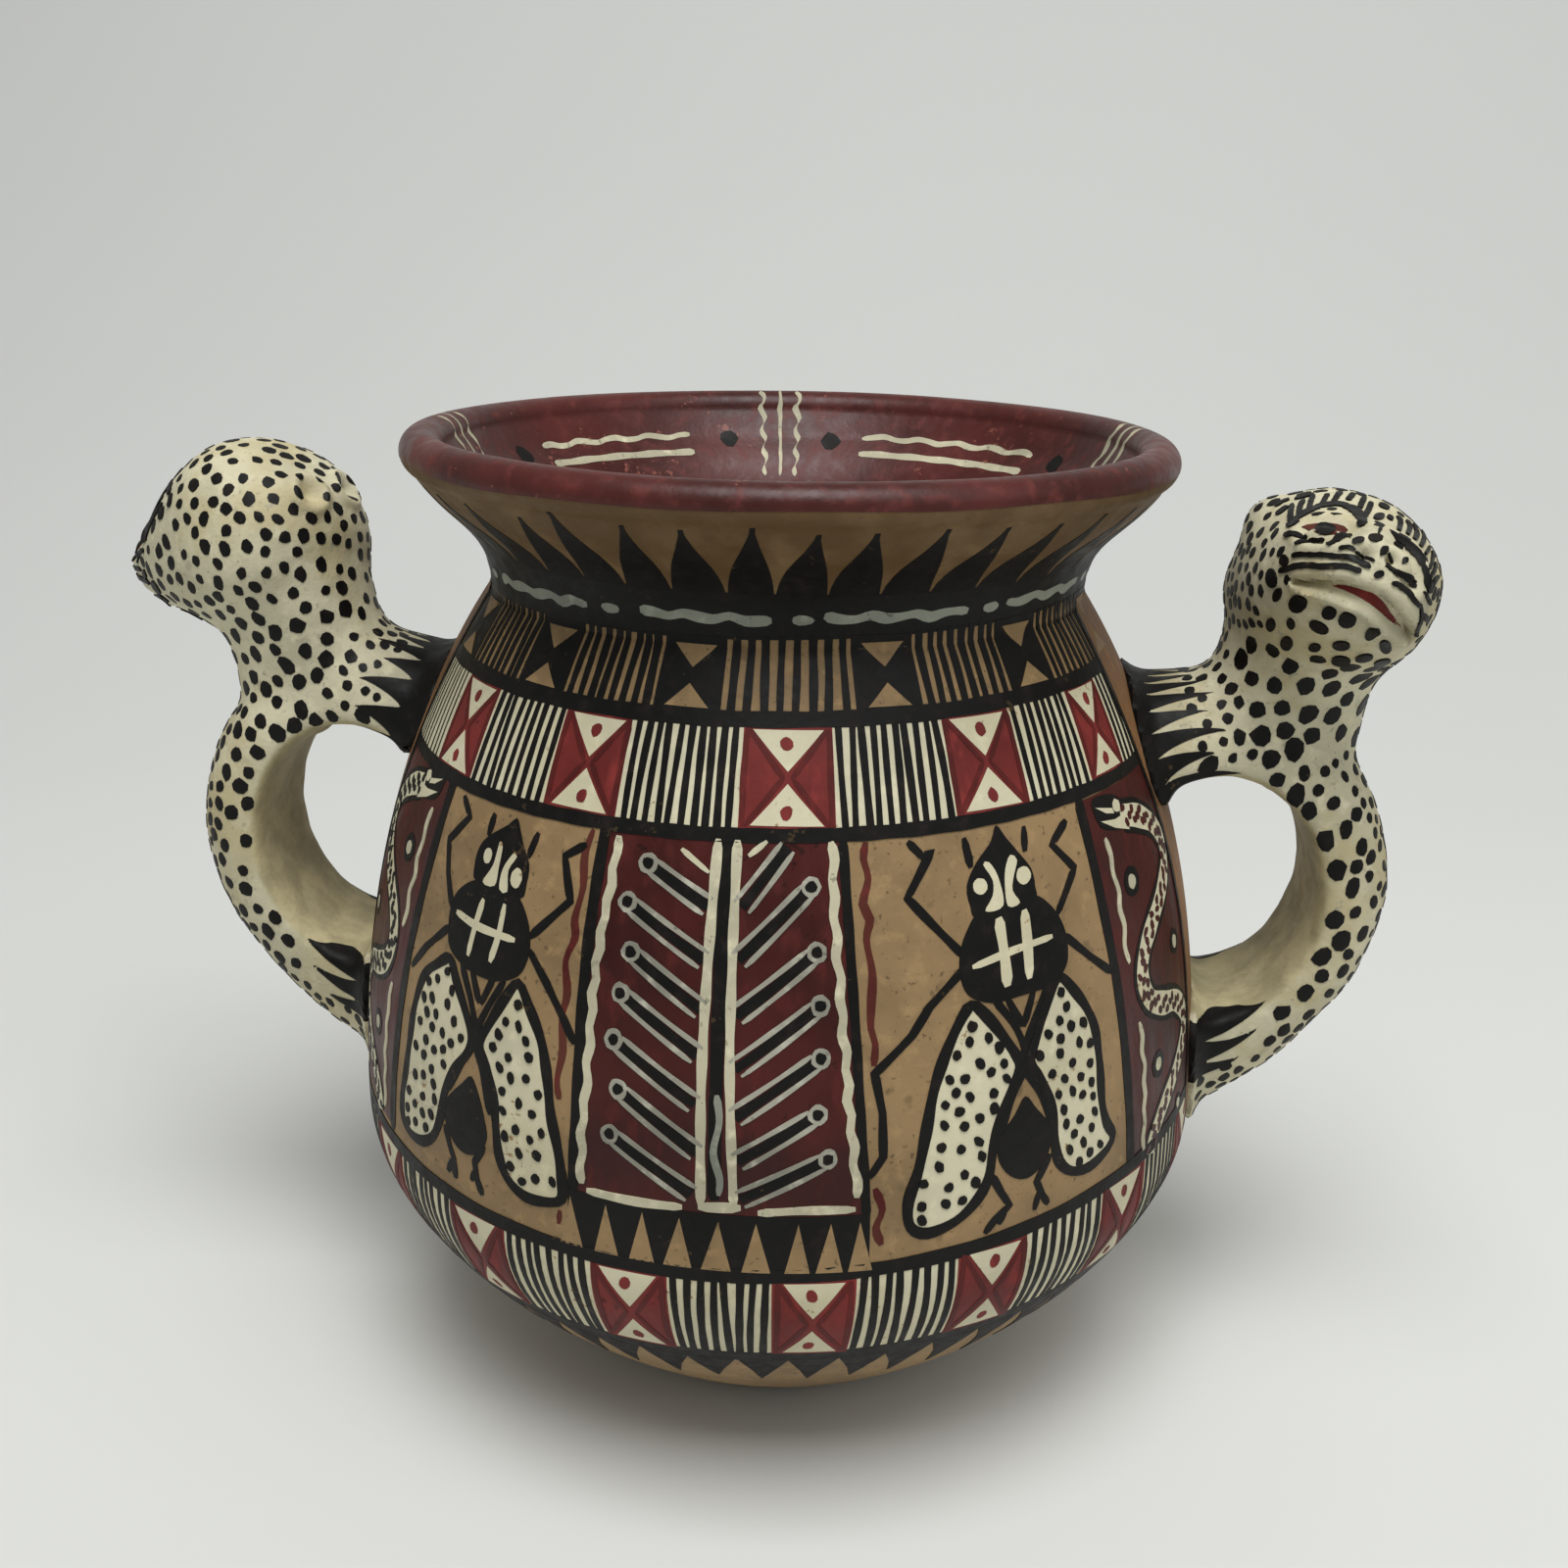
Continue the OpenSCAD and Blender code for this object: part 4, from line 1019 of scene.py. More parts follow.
# Brush marks of the face, in the head's own axes: x, y, z and width along each line
NEAR_MARKS = (
    ((16.4, -10.8, 4.0, 1.95), (16.4, -10.4, 4.7, 1.95), (16.3, -9.8, 5.7, 1.95), (15.8, -9.0, 6.7, 1.95),
     (15.2, -8.0, 7.8, 1.95)),
    ((15.2, -8.0, 7.8, 1.95), (14.8, -6.7, 8.7, 1.95), (14.7, -5.3, 9.2, 1.95), (15.1, -4.1, 9.3, 1.95)),
    ((14.9, -4.3, 9.3, 2.49), (16.9, -3.4, 8.6, 2.16), (20.0, -3.1, 7.2, 1.57), (23.5, -3.2, 5.5, 1.05)),
    ((15.6, -10.9, 4.4, 1.38), (18.2, -10.3, 4.2, 1.31)),
    ((9.7, -11.7, 6.2, 1.49), (9.7, -11.2, 7.1, 1.49), (9.6, -10.7, 7.8, 1.49)),
    ((7.4, -11.9, 7.8, 0.98), (7.3, -11.2, 8.7, 0.98), (7.6, -10.5, 9.3, 0.98)),
    ((15.7, -10.7, 4.6, 0.81), (13.3, -10.7, 6.3, 0.79), (9.9, -10.3, 8.2, 0.77)),
    ((15.9, -9.9, 5.7, 0.75), (12.9, -9.7, 7.5, 0.78), (10.6, -9.2, 9.1, 0.88)),
    ((15.1, -8.9, 7.2, 0.75), (12.1, -8.4, 8.9, 0.73), (9.9, -8.0, 10.3, 0.77)),
    ((8.4, -9.9, 9.4, 1.15), (9.2, -8.9, 10.0, 1.15), (9.6, -7.9, 10.6, 1.15)),
    ((14.7, -7.4, 8.3, 0.68), (12.3, -6.8, 9.8, 0.68), (10.8, -6.4, 10.9, 0.75)),
    ((13.8, -5.9, 9.4, 0.76), (12.1, -5.4, 10.6, 0.75), (9.9, -4.7, 12.0, 0.93)),
    ((12.9, -4.0, 10.5, 0.82), (11.8, -3.6, 11.3, 0.79), (10.1, -3.0, 12.3, 0.82)),
    ((15.1, -2.6, 9.5, 0.78), (13.2, -2.2, 10.7, 0.78), (10.9, -1.6, 12.1, 0.8)),
    ((19.0, -2.5, 7.7, 0.77), (14.9, -1.4, 9.7, 0.78), (12.2, -0.8, 11.5, 0.78)),
    ((17.2, -11.1, 2.4, 0.74), (19.6, -10.1, 2.4, 0.79), (21.3, -9.0, 2.2, 0.58)),
    ((20.9, -10.1, 1.0, 0.61), (22.1, -8.5, 1.7, 0.74), (23.9, -7.3, 2.1, 0.5)),
    ((25.4, -7.0, 1.3, 1.26), (25.0, -6.1, 2.2, 1.09), (23.5, -4.3, 3.9, 1.08)),
    ((26.6, -5.7, 1.1, 0.53), (27.2, -5.0, 1.5, 0.52), (27.5, -4.0, 1.4, 0.51)),
    ((27.5, -3.9, 1.2, 0.51), (26.6, -2.6, 1.1, 0.46), (28.1, -1.9, 0.8, 0.53), (28.6, -1.4, 0.7, 0.46)),
    ((20.8, -9.9, -0.6, 0.76), (22.0, -9.2, -0.3, 0.71), (23.9, -8.0, -0.2, 0.7), (25.4, -6.9, 0.0, 0.7),
     (26.4, -5.9, 0.0, 0.71), (27.5, -4.7, 0.2, 0.7), (28.0, -3.6, 0.2, 0.9), (28.3, -2.6, 0.0, 0.88),
     (28.5, -1.6, -0.2, 0.67)),
    ((18.8, -10.4, -2.7, 0.8), (20.5, -9.7, -2.3, 0.84), (22.6, -8.9, -1.9, 0.88), (24.2, -8.0, -1.7, 0.82),
     (25.7, -6.9, -1.7, 0.82), (26.9, -5.5, -1.3, 0.83), (27.8, -4.3, -1.0, 0.76), (28.3, -3.2, -1.1, 0.73),
     (28.4, -2.5, -1.1, 0.75)),
    ((19.2, -10.4, -1.9, 1.84), (19.5, -10.4, -1.3, 1.85), (19.8, -10.3, -0.7, 1.84)),
)
FAR_MARKS = (
    ((27.6, 0.0, 2.5, 0.49), (27.2, 0.7, 2.0, 0.44), (27.3, 1.1, 1.4, 0.46)),
    ((28.5, 0.1, 0.8, 1.26), (28.3, 1.2, 0.4, 1.07), (28.1, 2.5, 0.2, 0.54), (27.6, 3.6, 0.0, 0.54),
     (26.7, 5.1, -0.2, 0.61)),
    ((28.0, 1.6, 0.6, 0.34), (28.2, 2.4, 0.6, 0.31), (27.2, 4.0, 0.5, 0.49), (26.5, 5.0, 0.3, 0.35)),
    ((28.4, 1.6, -1.1, 0.61), (28.3, 2.7, -1.2, 0.74), (27.6, 4.2, -1.5, 0.87), (27.1, 5.4, -2.1, 0.64),
     (25.5, 6.8, -2.2, 0.68)),
    ((25.5, 6.8, -2.2, 0.6), (24.1, 7.7, -3.2, 0.6), (21.9, 8.4, -4.1, 0.41), (19.2, 9.3, -4.7, 0.47)),
    ((25.3, 0.6, 5.1, 2.32), (24.7, 1.5, 5.6, 2.47), (24.9, 2.6, 5.2, 2.47), (25.4, 3.5, 4.6, 2.47)),
    ((25.3, 3.4, 4.7, 1.95), (25.7, 4.4, 3.7, 1.01), (26.1, 5.1, 2.8, 0.87)),
    ((26.0, 5.1, 2.9, 0.67), (26.3, 5.9, 1.7, 0.69), (26.2, 6.7, 0.6, 1.4), (24.9, 7.5, 0.3, 1.04)),
    ((25.7, 0.7, 4.3, 0.53), (25.5, 1.5, 4.2, 0.46), (25.5, 2.1, 4.1, 0.42)),
    ((19.7, 2.2, 7.3, 0.65), (15.1, 3.2, 9.4, 0.7), (13.2, 3.1, 10.6, 0.95)),
    ((19.1, 3.6, 7.4, 0.63), (14.4, 4.7, 9.4, 0.7), (12.4, 4.6, 10.7, 0.94)),
    ((19.4, 4.6, 7.0, 0.61), (14.7, 5.8, 9.0, 0.78), (11.7, 5.7, 10.8, 0.57)),
    ((21.1, 5.2, 6.0, 0.57), (14.7, 6.9, 8.5, 0.63), (10.2, 7.4, 10.6, 0.53)),
    ((22.8, 5.7, 4.9, 0.42), (15.0, 7.9, 7.8, 0.43)),
    ((26.1, 5.9, 2.5, 0.35), (20.1, 7.4, 5.3, 0.49), (17.1, 8.0, 6.7, 0.8)),
    ((26.2, 6.4, 1.6, 0.46), (23.1, 7.4, 3.4, 0.55), (20.4, 8.0, 4.8, 0.62)),
    ((25.2, 7.3, 0.6, 0.92), (24.4, 7.5, 1.7, 0.67), (21.8, 8.5, 3.0, 0.53)),
    ((26.6, 6.2, -0.5, 0.38), (25.1, 7.3, -0.8, 0.46), (23.4, 8.4, -1.1, 0.47)),
)
# Big spots of the face: middle, then half the length and half the width as directions
FACE_SPOTS = (
    ((16.4, -0.1, 9.0), (-1.16, 0.95, 0.52), (-1.51, 0.2, 0.76)),
    ((14.8, 1.7, 9.7), (0.21, 0.44, -0.18), (-0.67, 0.23, 0.44)),
    ((25.4, -1.4, 5.5), (-1.51, 0.56, 0.53), (-1.6, 0.25, 0.52)),
    ((11.8, 1.1, 11.7), (0.01, 0.81, -0.08), (-0.95, 0.24, 0.53)),
    ((27.5, -4.0, 2.7), (0.09, 0.67, 0.41), (-0.33, -0.12, 0.39)),
    ((27.6, -2.1, 3.7), (0.23, 0.87, 0.13), (-0.47, 0.02, 0.52)),
    ((28.7, -0.8, 2.3), (-0.88, 0.58, 0.58), (-0.14, -0.36, 0.42)),
    ((28.5, -0.3, -0.7), (0.11, 0.53, 0.49), (0.01, -0.34, 0.37)),
    ((28.2, 2.2, 2.1), (-0.05, 0.33, -0.05), (-0.25, 0.13, 0.45)),
    ((20.8, -7.0, -6.2), (1.41, 0.84, 0.15), (1.09, -0.62, 0.89)),
    ((23.6, -3.4, -6.5), (0.66, 0.76, 0.21), (0.84, -0.47, 0.64)),
    ((24.0, -1.0, -6.6), (0.56, 0.98, 0.3), (1.5, -0.63, 0.51)),
    ((20.4, -3.3, -8.1), (0.16, 1.35, -0.16), (1.11, -0.18, 0.51)),
    ((22.8, 2.9, -6.9), (1.38, 0.61, 0.1), (1.57, -0.59, 0.29)),
    ((19.1, 6.0, -7.4), (-1.0, 1.06, 0.1), (1.6, -0.35, 0.47)),
    ((18.4, 0.7, -9.1), (0.5, 1.0, 0.32), (1.08, -0.46, 0.39)),
    ((15.4, -1.8, -10.0), (0.7, 0.63, 0.18), (0.94, -0.39, 0.38)),
    ((17.0, -6.2, -8.4), (0.79, 0.2, 0.17), (0.5, -0.6, 0.52)),
    ((12.4, -4.9, -10.4), (0.96, 0.6, 0.14), (1.41, -0.63, 0.71)),
    ((14.1, 2.4, -10.4), (0.48, 1.12, 0.37), (1.52, -0.61, 0.44)),
    ((16.0, 4.7, -9.3), (0.65, 0.85, 0.58), (1.1, -0.58, 0.28)),
    ((13.6, 7.8, -8.7), (0.29, 0.85, 0.69), (1.54, -0.71, 0.15)),
    ((17.8, -9.3, -5.5), (0.69, 0.39, -0.12), (0.91, -0.17, 0.83)),
    ((17.1, -10.7, -3.6), (1.24, 0.46, 0.02), (-0.22, -0.42, 1.28)),
    ((13.1, -7.9, -8.8), (0.88, 0.4, 0.06), (1.02, -0.52, 0.71)),
    ((22.8, 8.6, -2.8), (-0.72, 0.43, 0.37), (1.34, -0.85, 0.23)),
)
EYE_LENS = ((18.8, -9.7, 3.8), (18.8, -9.1, 4.3), (19.1, -8.1, 4.8), (19.6, -7.0, 5.2), (20.5, -5.8, 5.3),
            (21.4, -5.0, 5.2), (22.1, -4.5, 4.7), (22.4, -4.8, 4.2), (24.3, -6.2, 3.2), (23.6, -7.3, 2.8),
            (22.1, -8.3, 3.0), (19.3, -8.9, 3.6))
EYE_IRIS = ((21.1, -5.8, 4.6), (23.7, -6.4, 3.5), (23.9, -6.8, 3.0), (23.6, -7.3, 2.8), (23.0, -7.8, 2.8),
            (22.2, -8.2, 3.1), (21.3, -8.4, 3.6), (19.3, -8.0, 4.5), (19.3, -7.6, 5.0), (19.6, -7.0, 5.2),
            (20.1, -6.5, 5.2), (20.5, -6.0, 5.0))
ARM_FINGERS = {"right": (23, 1.0, 10.5), "left": (17, 3.0, 9.8)}
ROOT_FINGER_DROP = (0.2, 0.7, 1.8, 4.0, 5.3, 7.5, 8.7, 10.2, 11.5)
ROOT_FINGER_REACH = (-3.0, 6.5, 10.8, 1.2, 10.0, 1.0, 7.5, 0.0, -3.0)
X_LIMIT = {"right": 91.45, "left": 103.6}
# Where the skin is eased, and how the handle joins the wall
CREASE_Z, CREASE_REACH = 106.0, 7.5
CROOK_X, CROOK_Z, CROOK_REACH = 60.0, 104.0, 7.0
JOIN_REACH, JOIN_SWELL, JOIN_DEPTH = 4.4, 2.3, 2.6
RING_POINTS = 72


def signed_power(v, e):
    return np.sign(v) * np.abs(v) ** e


def rise(t, low, high):
    return max(0.0, (t - low) / (high - low)) ** 2


def strap_depth(t, flare):
    return STRAP_T + ROOT_FLARE * rise(t, -40, -90) + flare * rise(t, 60, 125)


def strap_ring(t, flare):
    """One section of the strap, t degrees round the finger gap"""
    turn = math.radians(t)
    inner = np.array([GAP_X + GAP_W * math.cos(turn), GAP_Z + GAP_H / 2 * math.sin(turn)])
    out = np.array([math.cos(turn) / GAP_W, 2 * math.sin(turn) / GAP_H])
    out /= np.linalg.norm(out)
    half = STRAP_W / 2 + 2 * rise(t, -40, -90) + 2.5 * rise(t, 60, 125)
    a = np.arange(RING_POINTS) * 2 * math.pi / RING_POINTS
    under = np.sin(a) < 0
    across = -half * np.where(under, signed_power(np.cos(a), 0.5), signed_power(np.cos(a), 0.85))
    high = np.where(under, 0.22 * (1 - np.abs(np.sin(a)) ** 0.5), 0.22 + 0.78 * np.abs(np.sin(a)) ** 0.95)
    reach = strap_depth(t, flare) * high
    return np.stack([inner[0] + out[0] * reach, across, inner[1] + out[1] * reach], 1)


def head_turning(side):
    """The head's own axes, as a matrix, and its middle, in the handle's place"""
    pose = HANDLES[side]
    turned = (Matrix.Rotation(math.radians(-pose["turn"]), 3, "Z")
              @ Matrix.Rotation(math.radians(-pose["lift"]), 3, "Y")
              @ Matrix.Rotation(math.radians(-pose["tilt"]), 3, "X"))
    return np.array(turned), np.array([NAPE_X + HEAD_REACH, 0.0, HEAD_Z])


def skin(rings, points, faces):
    """Adds a closed skin over a run of rings"""
    start, n = len(points), len(rings[0])
    for ring in rings:
        points.extend(ring)
    faces.extend(ring_quads(len(rings), n, start))
    faces.append(tuple(start + i for i in reversed(range(n))))
    faces.append(tuple(start + (len(rings) - 1) * n + i for i in range(n)))


def rough_handle(side):
    """Strap, nape, head and ears as closed skins that run into each other"""
    pose = HANDLES[side]
    points, faces = [], []
    skin([strap_ring(t, pose["flare"]) for t in range(-116, 125, 3)], points, faces)
    a = np.arange(RING_POINTS) * 2 * math.pi / RING_POINTS
    rows = smooth_path(NAPE_RINGS, 0.8)
    skin([np.stack([NAPE_X + row[1] + NAPE_W / 2 * row[2] * np.cos(a), NAPE_W / 2 * row[3] * np.sin(a),
                    np.full(RING_POINTS, GAP_Z + GAP_H / 2 + row[0])], 1) for row in rows], points, faces)
    turned, middle = head_turning(side)
    rings = []
    for row in smooth_path(HEAD_RINGS, 0.02):
        crown = np.where(np.sin(a) > 0, row[1], row[2])
        local = np.stack([np.full(RING_POINTS, row[0] * HEAD_L - SKULL_BACK),
                          row[3] * SKULL_W / 2 * signed_power(np.cos(a), 0.9),
                          SKULL_H / 2 * signed_power(np.sin(a), 0.9) * crown], 1)
        rings.append(local @ turned.T + middle)
    skin(rings, points, faces)
    for hand_side in (-1, 1):
        ear = []
        for b in np.radians(np.arange(-80, 81, 16)):
            local = np.stack([EAR_AT[0] + EAR_SIZE[0] * math.cos(b) * np.cos(a[::3]),
                              hand_side * EAR_AT[1] + EAR_SIZE[1] * math.cos(b) * np.sin(a[::3]),
                              np.full(len(a[::3]), EAR_AT[2] + EAR_SIZE[2] * math.sin(b))], 1)
            ear.append(local @ turned.T + middle)
        skin(ear, points, faces)
    return points, faces


def fused(points, faces, voxel):
    """One even skin round everything, as arrays of places and quads"""
    mesh = bpy.data.meshes.new("rough_handle")
    mesh.from_pydata([tuple(p) for p in points], [], faces)
    rough = bpy.data.objects.new("rough_handle", mesh)
    bpy.context.scene.collection.objects.link(rough)
    change = rough.modifiers.new("Fuse", "REMESH")
    change.mode, change.voxel_size = "VOXEL", voxel
    shaped = rough.evaluated_get(bpy.context.evaluated_depsgraph_get()).to_mesh()
    places = np.empty(len(shaped.vertices) * 3)
    shaped.vertices.foreach_get("co", places)
    quads = [tuple(face.vertices) for face in shaped.polygons]
    bpy.data.objects.remove(rough)
    bpy.data.meshes.remove(mesh)
    return places.reshape(-1, 3), quads


def edges_of(quads):
    pairs = np.array([(f[i], f[(i + 1) % len(f)]) for f in quads for i in range(len(f))])
    pairs.sort(axis=1)
    return np.unique(pairs, axis=0)


def relax(places, edges, weight, rounds):
    """Each place moves toward the middle of its neighbours, by its own weight"""
    n = len(places)
    one, two = edges[:, 0], edges[:, 1]
    near = np.bincount(edges.ravel(), minlength=n)[:, None]
    for _ in range(rounds):
        total = np.stack([np.bincount(one, places[two, k], n) + np.bincount(two, places[one, k], n)
                          for k in range(3)], 1)
        places = places + weight[:, None] * (total / near - places)
    return places


def facings(places, quads):
    """Outward direction at each place"""
    tri = np.array([(f[0], f[1], f[2]) for f in quads] + [(f[0], f[2], f[3]) for f in quads if len(f) == 4])
    side = np.cross(places[tri[:, 1]] - places[tri[:, 0]], places[tri[:, 2]] - places[tri[:, 0]])
    total = np.zeros_like(places)
    for k in range(3):
        np.add.at(total, tri[:, k], side)
    return total / np.maximum(np.linalg.norm(total, axis=1), 1e-12)[:, None]


WALL_OUTER = OUTLINE[RUN < S_LIP_START]
WALL_OUTER_FACING = FACING[RUN < S_LIP_START]


def off_wall(places):
    """Distance outside the vase's wall, and the wall's own facing there"""
    flat = np.stack([np.hypot(places[:, 0], places[:, 1]), places[:, 2]], 1)
    found, facing = np.empty(len(flat)), np.empty((len(flat), 2))
    for first in range(0, len(flat), 4000):
        part = flat[first:first + 4000]
        gap = np.linalg.norm(part[:, None] - WALL_OUTER[None], axis=2)
        nearest = gap.argmin(1)
        facing[first:first + 4000] = WALL_OUTER_FACING[nearest]
        found[first:first + 4000] = ((part - WALL_OUTER[nearest]) * WALL_OUTER_FACING[nearest]).sum(1)
    return found, facing


def strap_place(places, flare):
    """Angle round the finger gap, height off the strap's inner face, and turn round the strap"""
    dx, dz = places[:, 0] - GAP_X, places[:, 2] - GAP_Z
    t = np.arctan2(dz / (GAP_H / 2), dx / GAP_W)
    for _ in range(6):
        ex, ez = dx - GAP_W * np.cos(t), dz - GAP_H / 2 * np.sin(t)
        slope_x, slope_z = -GAP_W * np.sin(t), GAP_H / 2 * np.cos(t)
        t = t + 0.7 * (ex * slope_x + ez * slope_z) / (slope_x ** 2 + slope_z ** 2)
    out_x, out_z = np.cos(t) / GAP_W, 2 * np.sin(t) / GAP_H
    size = np.hypot(out_x, out_z)
    up = ((dx - GAP_W * np.cos(t)) * out_x + (dz - GAP_H / 2 * np.sin(t)) * out_z) / size
    degrees = np.degrees(t)
    return degrees, up, np.arctan2(up - 0.45 * STRAP_T, places[:, 1])


def mouth_slit(q):
    """Height above the middle of the mouth, half the opening, and the turn, at each place on the head"""
    turn = np.degrees(np.arctan2(q[:, 1], q[:, 0] - 11.0))
    top, low = np.interp(turn, MOUTH_TURN, MOUTH_TOP), np.interp(turn, MOUTH_TURN, MOUTH_LOW)
    front = (q[:, 0] > 12.0) & (turn > MOUTH_TURN[0]) & (turn < MOUTH_TURN[-1])
    return q[:, 2] - 0.5 * (top + low), 0.5 * (top - low) * front, turn


def eye_frames(q, out, side):
    """Middle, outward and upward directions of both eyes on the head's skin"""
    frames = []
    for guess, lean, _, _ in FACES[side]["eyes"]:
        nearest = np.linalg.norm(q - np.array(guess), axis=1).argmin()
        facing = out[nearest]
        over = np.array([0.0, 0.0, 1.0]) - facing * facing[2]
        over /= np.linalg.norm(over)
        outward = np.cross(facing, over)
        outward *= math.copysign(1.0, outward @ np.array([-1.0, math.copysign(0.6, guess[1]), 0.0]))
        c, d = math.cos(math.radians(lean)), math.sin(math.radians(lean))
        frames.append((q[nearest].copy(), c * outward + d * over, c * over - d * outward, facing))
    return frames


def sculpt_face(q, frames, side):
    """How far each place on the head goes in or out, from its place in the head's own axes"""
    face = FACES[side]
    change = np.zeros(len(q))
    for (middle, outward, over, facing), (_, _, long, high) in zip(frames, face["eyes"]):
        d = q - middle
        u, v, deep = d @ outward, d @ over, d @ facing
        near = (np.abs(deep) < 5) & (np.hypot(u, v) < 9)
        lid = np.hypot(u / long, (v - 0.25 * high) / high)
        change -= near * EYE_SINK / (1 + np.exp((lid - 0.95) / 0.12))
        ball = np.clip(1 - (u / (0.82 * long)) ** 2 - ((v + 0.08 * high) / (0.62 * high)) ** 2, 0, 1)
        change += near * EYEBALL * ball ** 0.5
        change += near * EYE_RIM * np.exp(-((lid - 1.3) / 0.2) ** 2)
    for nostril in face["nostrils"]:
        gap = np.linalg.norm(q - np.array(nostril), axis=1)
        change += NOSTRIL_RIM * np.exp(-(gap / 1.9) ** 2) - NOSTRIL_PIT * np.exp(-(gap / 0.95) ** 2)
    for ear in face["ears"]:
        pit = np.linalg.norm(q - np.array(ear), axis=1)
        change += EAR_RIM * np.exp(-((pit - 2.6) / 0.8) ** 2) - EAR_SINK * np.exp(-(pit / 1.5) ** 2)
    for middle, wide, high in face["bumps"]:
        change += high * np.exp(-(np.linalg.norm(q - np.array(middle), axis=1) / wide) ** 2)
    slit, half, _ = mouth_slit(q)
    share = slit / np.maximum(half, 0.05)
    inside = np.clip((1 - share) / 0.22, 0, 1) * np.clip((share + 1) / 0.4, 0, 1)
    change -= face["lip"] * MOUTH_SINK * (0.35 + 0.325 * (np.clip(share, -1, 1) + 1)) * inside * (half > 0.04)
    open_part = np.clip(half / 0.5, 0, 1)
    lower = np.exp(-((slit + half + 0.3) / 0.42) ** 2)
    upper = np.exp(-((slit - half - 1.0) / 0.9) ** 2)
    change += face["lip"] * (LOWER_LIP * lower + UPPER_LIP * upper) * open_part
    bridge = np.hypot((q[:, 1] + 1.0) / 3.0, (q[:, 2] - 4.0) / 2.2)
    change += BRIDGE * (q[:, 0] > 18) * np.exp(-bridge ** 2)
    return change


def to_place(places, side):
    """From the right handle's own place to this handle's place on the vase"""
    pose = HANDLES[side]
    turned = np.array(Matrix.Rotation(math.radians(pose["round"]), 3, "Z"))
    return places @ turned.T + np.array([0.0, 0.0, pose["rise"]])


def eased_handle(side, voxel):
    """The fused handle, smoothed where the nape leaves the strap and in the crook by the wall"""
    places, quads = fused(*rough_handle(side), voxel)
    edges = edges_of(quads)
    places = relax(places, edges, np.full(len(places), 0.5), 10)
    crease = np.exp(-((places[:, 2] - CREASE_Z) / CREASE_REACH) ** 2) * (places[:, 0] < 110)
    places = relax(places, edges, 0.5 * crease, 130)
    crook = np.exp(-(np.hypot(places[:, 0] - CROOK_X, places[:, 2] - CROOK_Z) / CROOK_REACH) ** 2)
    return relax(places, edges, 0.5 * crook, 60), quads


def carve_head(places, quads, side):
    """The head drawn out and carved, and the whole handle left a little lumpy; also the eyes' frames"""
    turned, middle = head_turning(side)
    local = (places - middle) @ turned
    on_head = np.clip((local[:, 2] + 15.0) / 3.0, 0, 1) * (np.linalg.norm(local, axis=1) < 40)
    out = facings(places, quads)
    face = FACES[side]
    local[:, 2] = np.where(local[:, 2] > 0, local[:, 2] * face["stretch"], local[:, 2])
    snout = np.clip((local[:, 0] - FACE_FRONT) / 12, 0, 1) * on_head
    local[:, 1] *= 1 - 0.6 * face["point"] * snout
    local[:, 2] = (local[:, 2] + 1.5) * (1 - face["point"] * snout) - 1.5 - face["droop"] * snout ** 2
    places = local @ turned.T + middle
    frames = eye_frames(local, out @ turned, side)
    places = places + out * (sculpt_face(local, frames, side) * on_head)[:, None]
    lumps = (np.sin(places[:, 0] * 0.31 + 1.3) * np.sin(places[:, 1] * 0.37 + 0.4)
             * np.sin(places[:, 2] * 0.29 + HANDLES[side]["seed"]))
    fine = (np.sin(places[:, 0] * 0.9 + 2.0) * np.sin(places[:, 1] * 1.1) * np.sin(places[:, 2] * 1.0 + 0.7))
    plump = -0.32 + (0.3 + face["plump"]) * np.clip((places[:, 2] - 98) / 8, 0, 1)
    return places + out * (0.22 * lumps + 0.07 * fine + plump)[:, None], frames


def let_into_wall(places, quads, side):
    """Swells the handle where it meets the wall, keeps it inside the bounds, and draws its ends in"""
    height = np.array([0.0, 0.0, HANDLES[side]["rise"]])
    near = np.clip(1 - np.abs(off_wall(places + height)[0] + 0.3) / JOIN_REACH, 0, 1) ** 3
    places = places + facings(places, quads) * (JOIN_SWELL * near)[:, None]
    wall, facing = off_wall(places + height)
    reach = X_LIMIT[side]
    over = np.maximum(places[:, 0] - reach + 0.6, 0)
    places[:, 0] = np.where(over > 0, reach - 0.6 + 0.6 * np.tanh(over / 0.6), places[:, 0])
    sink = np.where(wall < -JOIN_DEPTH, -JOIN_DEPTH - wall, 0.0)
    radial = places[:, :2] / np.maximum(np.hypot(places[:, 0], places[:, 1]), 1e-6)[:, None]
    push = sink[:, None] * facing
    return places + np.concatenate([radial * push[:, :1], push[:, 1:]], 1)


def build_handle(side, voxel):
    """One handle with its head: fused, smoothed, carved, and let into the wall"""
    places, quads = eased_handle(side, voxel)
    places, frames = carve_head(places, quads, side)
    places = let_into_wall(places, quads, side)
    degrees, up, _ = strap_place(places, HANDLES[side]["flare"])
    inner = np.clip((1.9 - up) / 0.5, 0, 1) * (np.abs(places[:, 1]) < 13) * (np.abs(degrees) < 118)
    piece = new_piece("handle_" + side, to_place(places, side) * MM, quads, slip("handle_cream"), smooth=70.0)
    mark = piece.data.attributes.new("inner_face", "FLOAT", "POINT")
    mark.data.foreach_set("value", inner)
    piece["eye_frames"] = [float(v) for frame in frames for part in frame for v in part]
    return piece


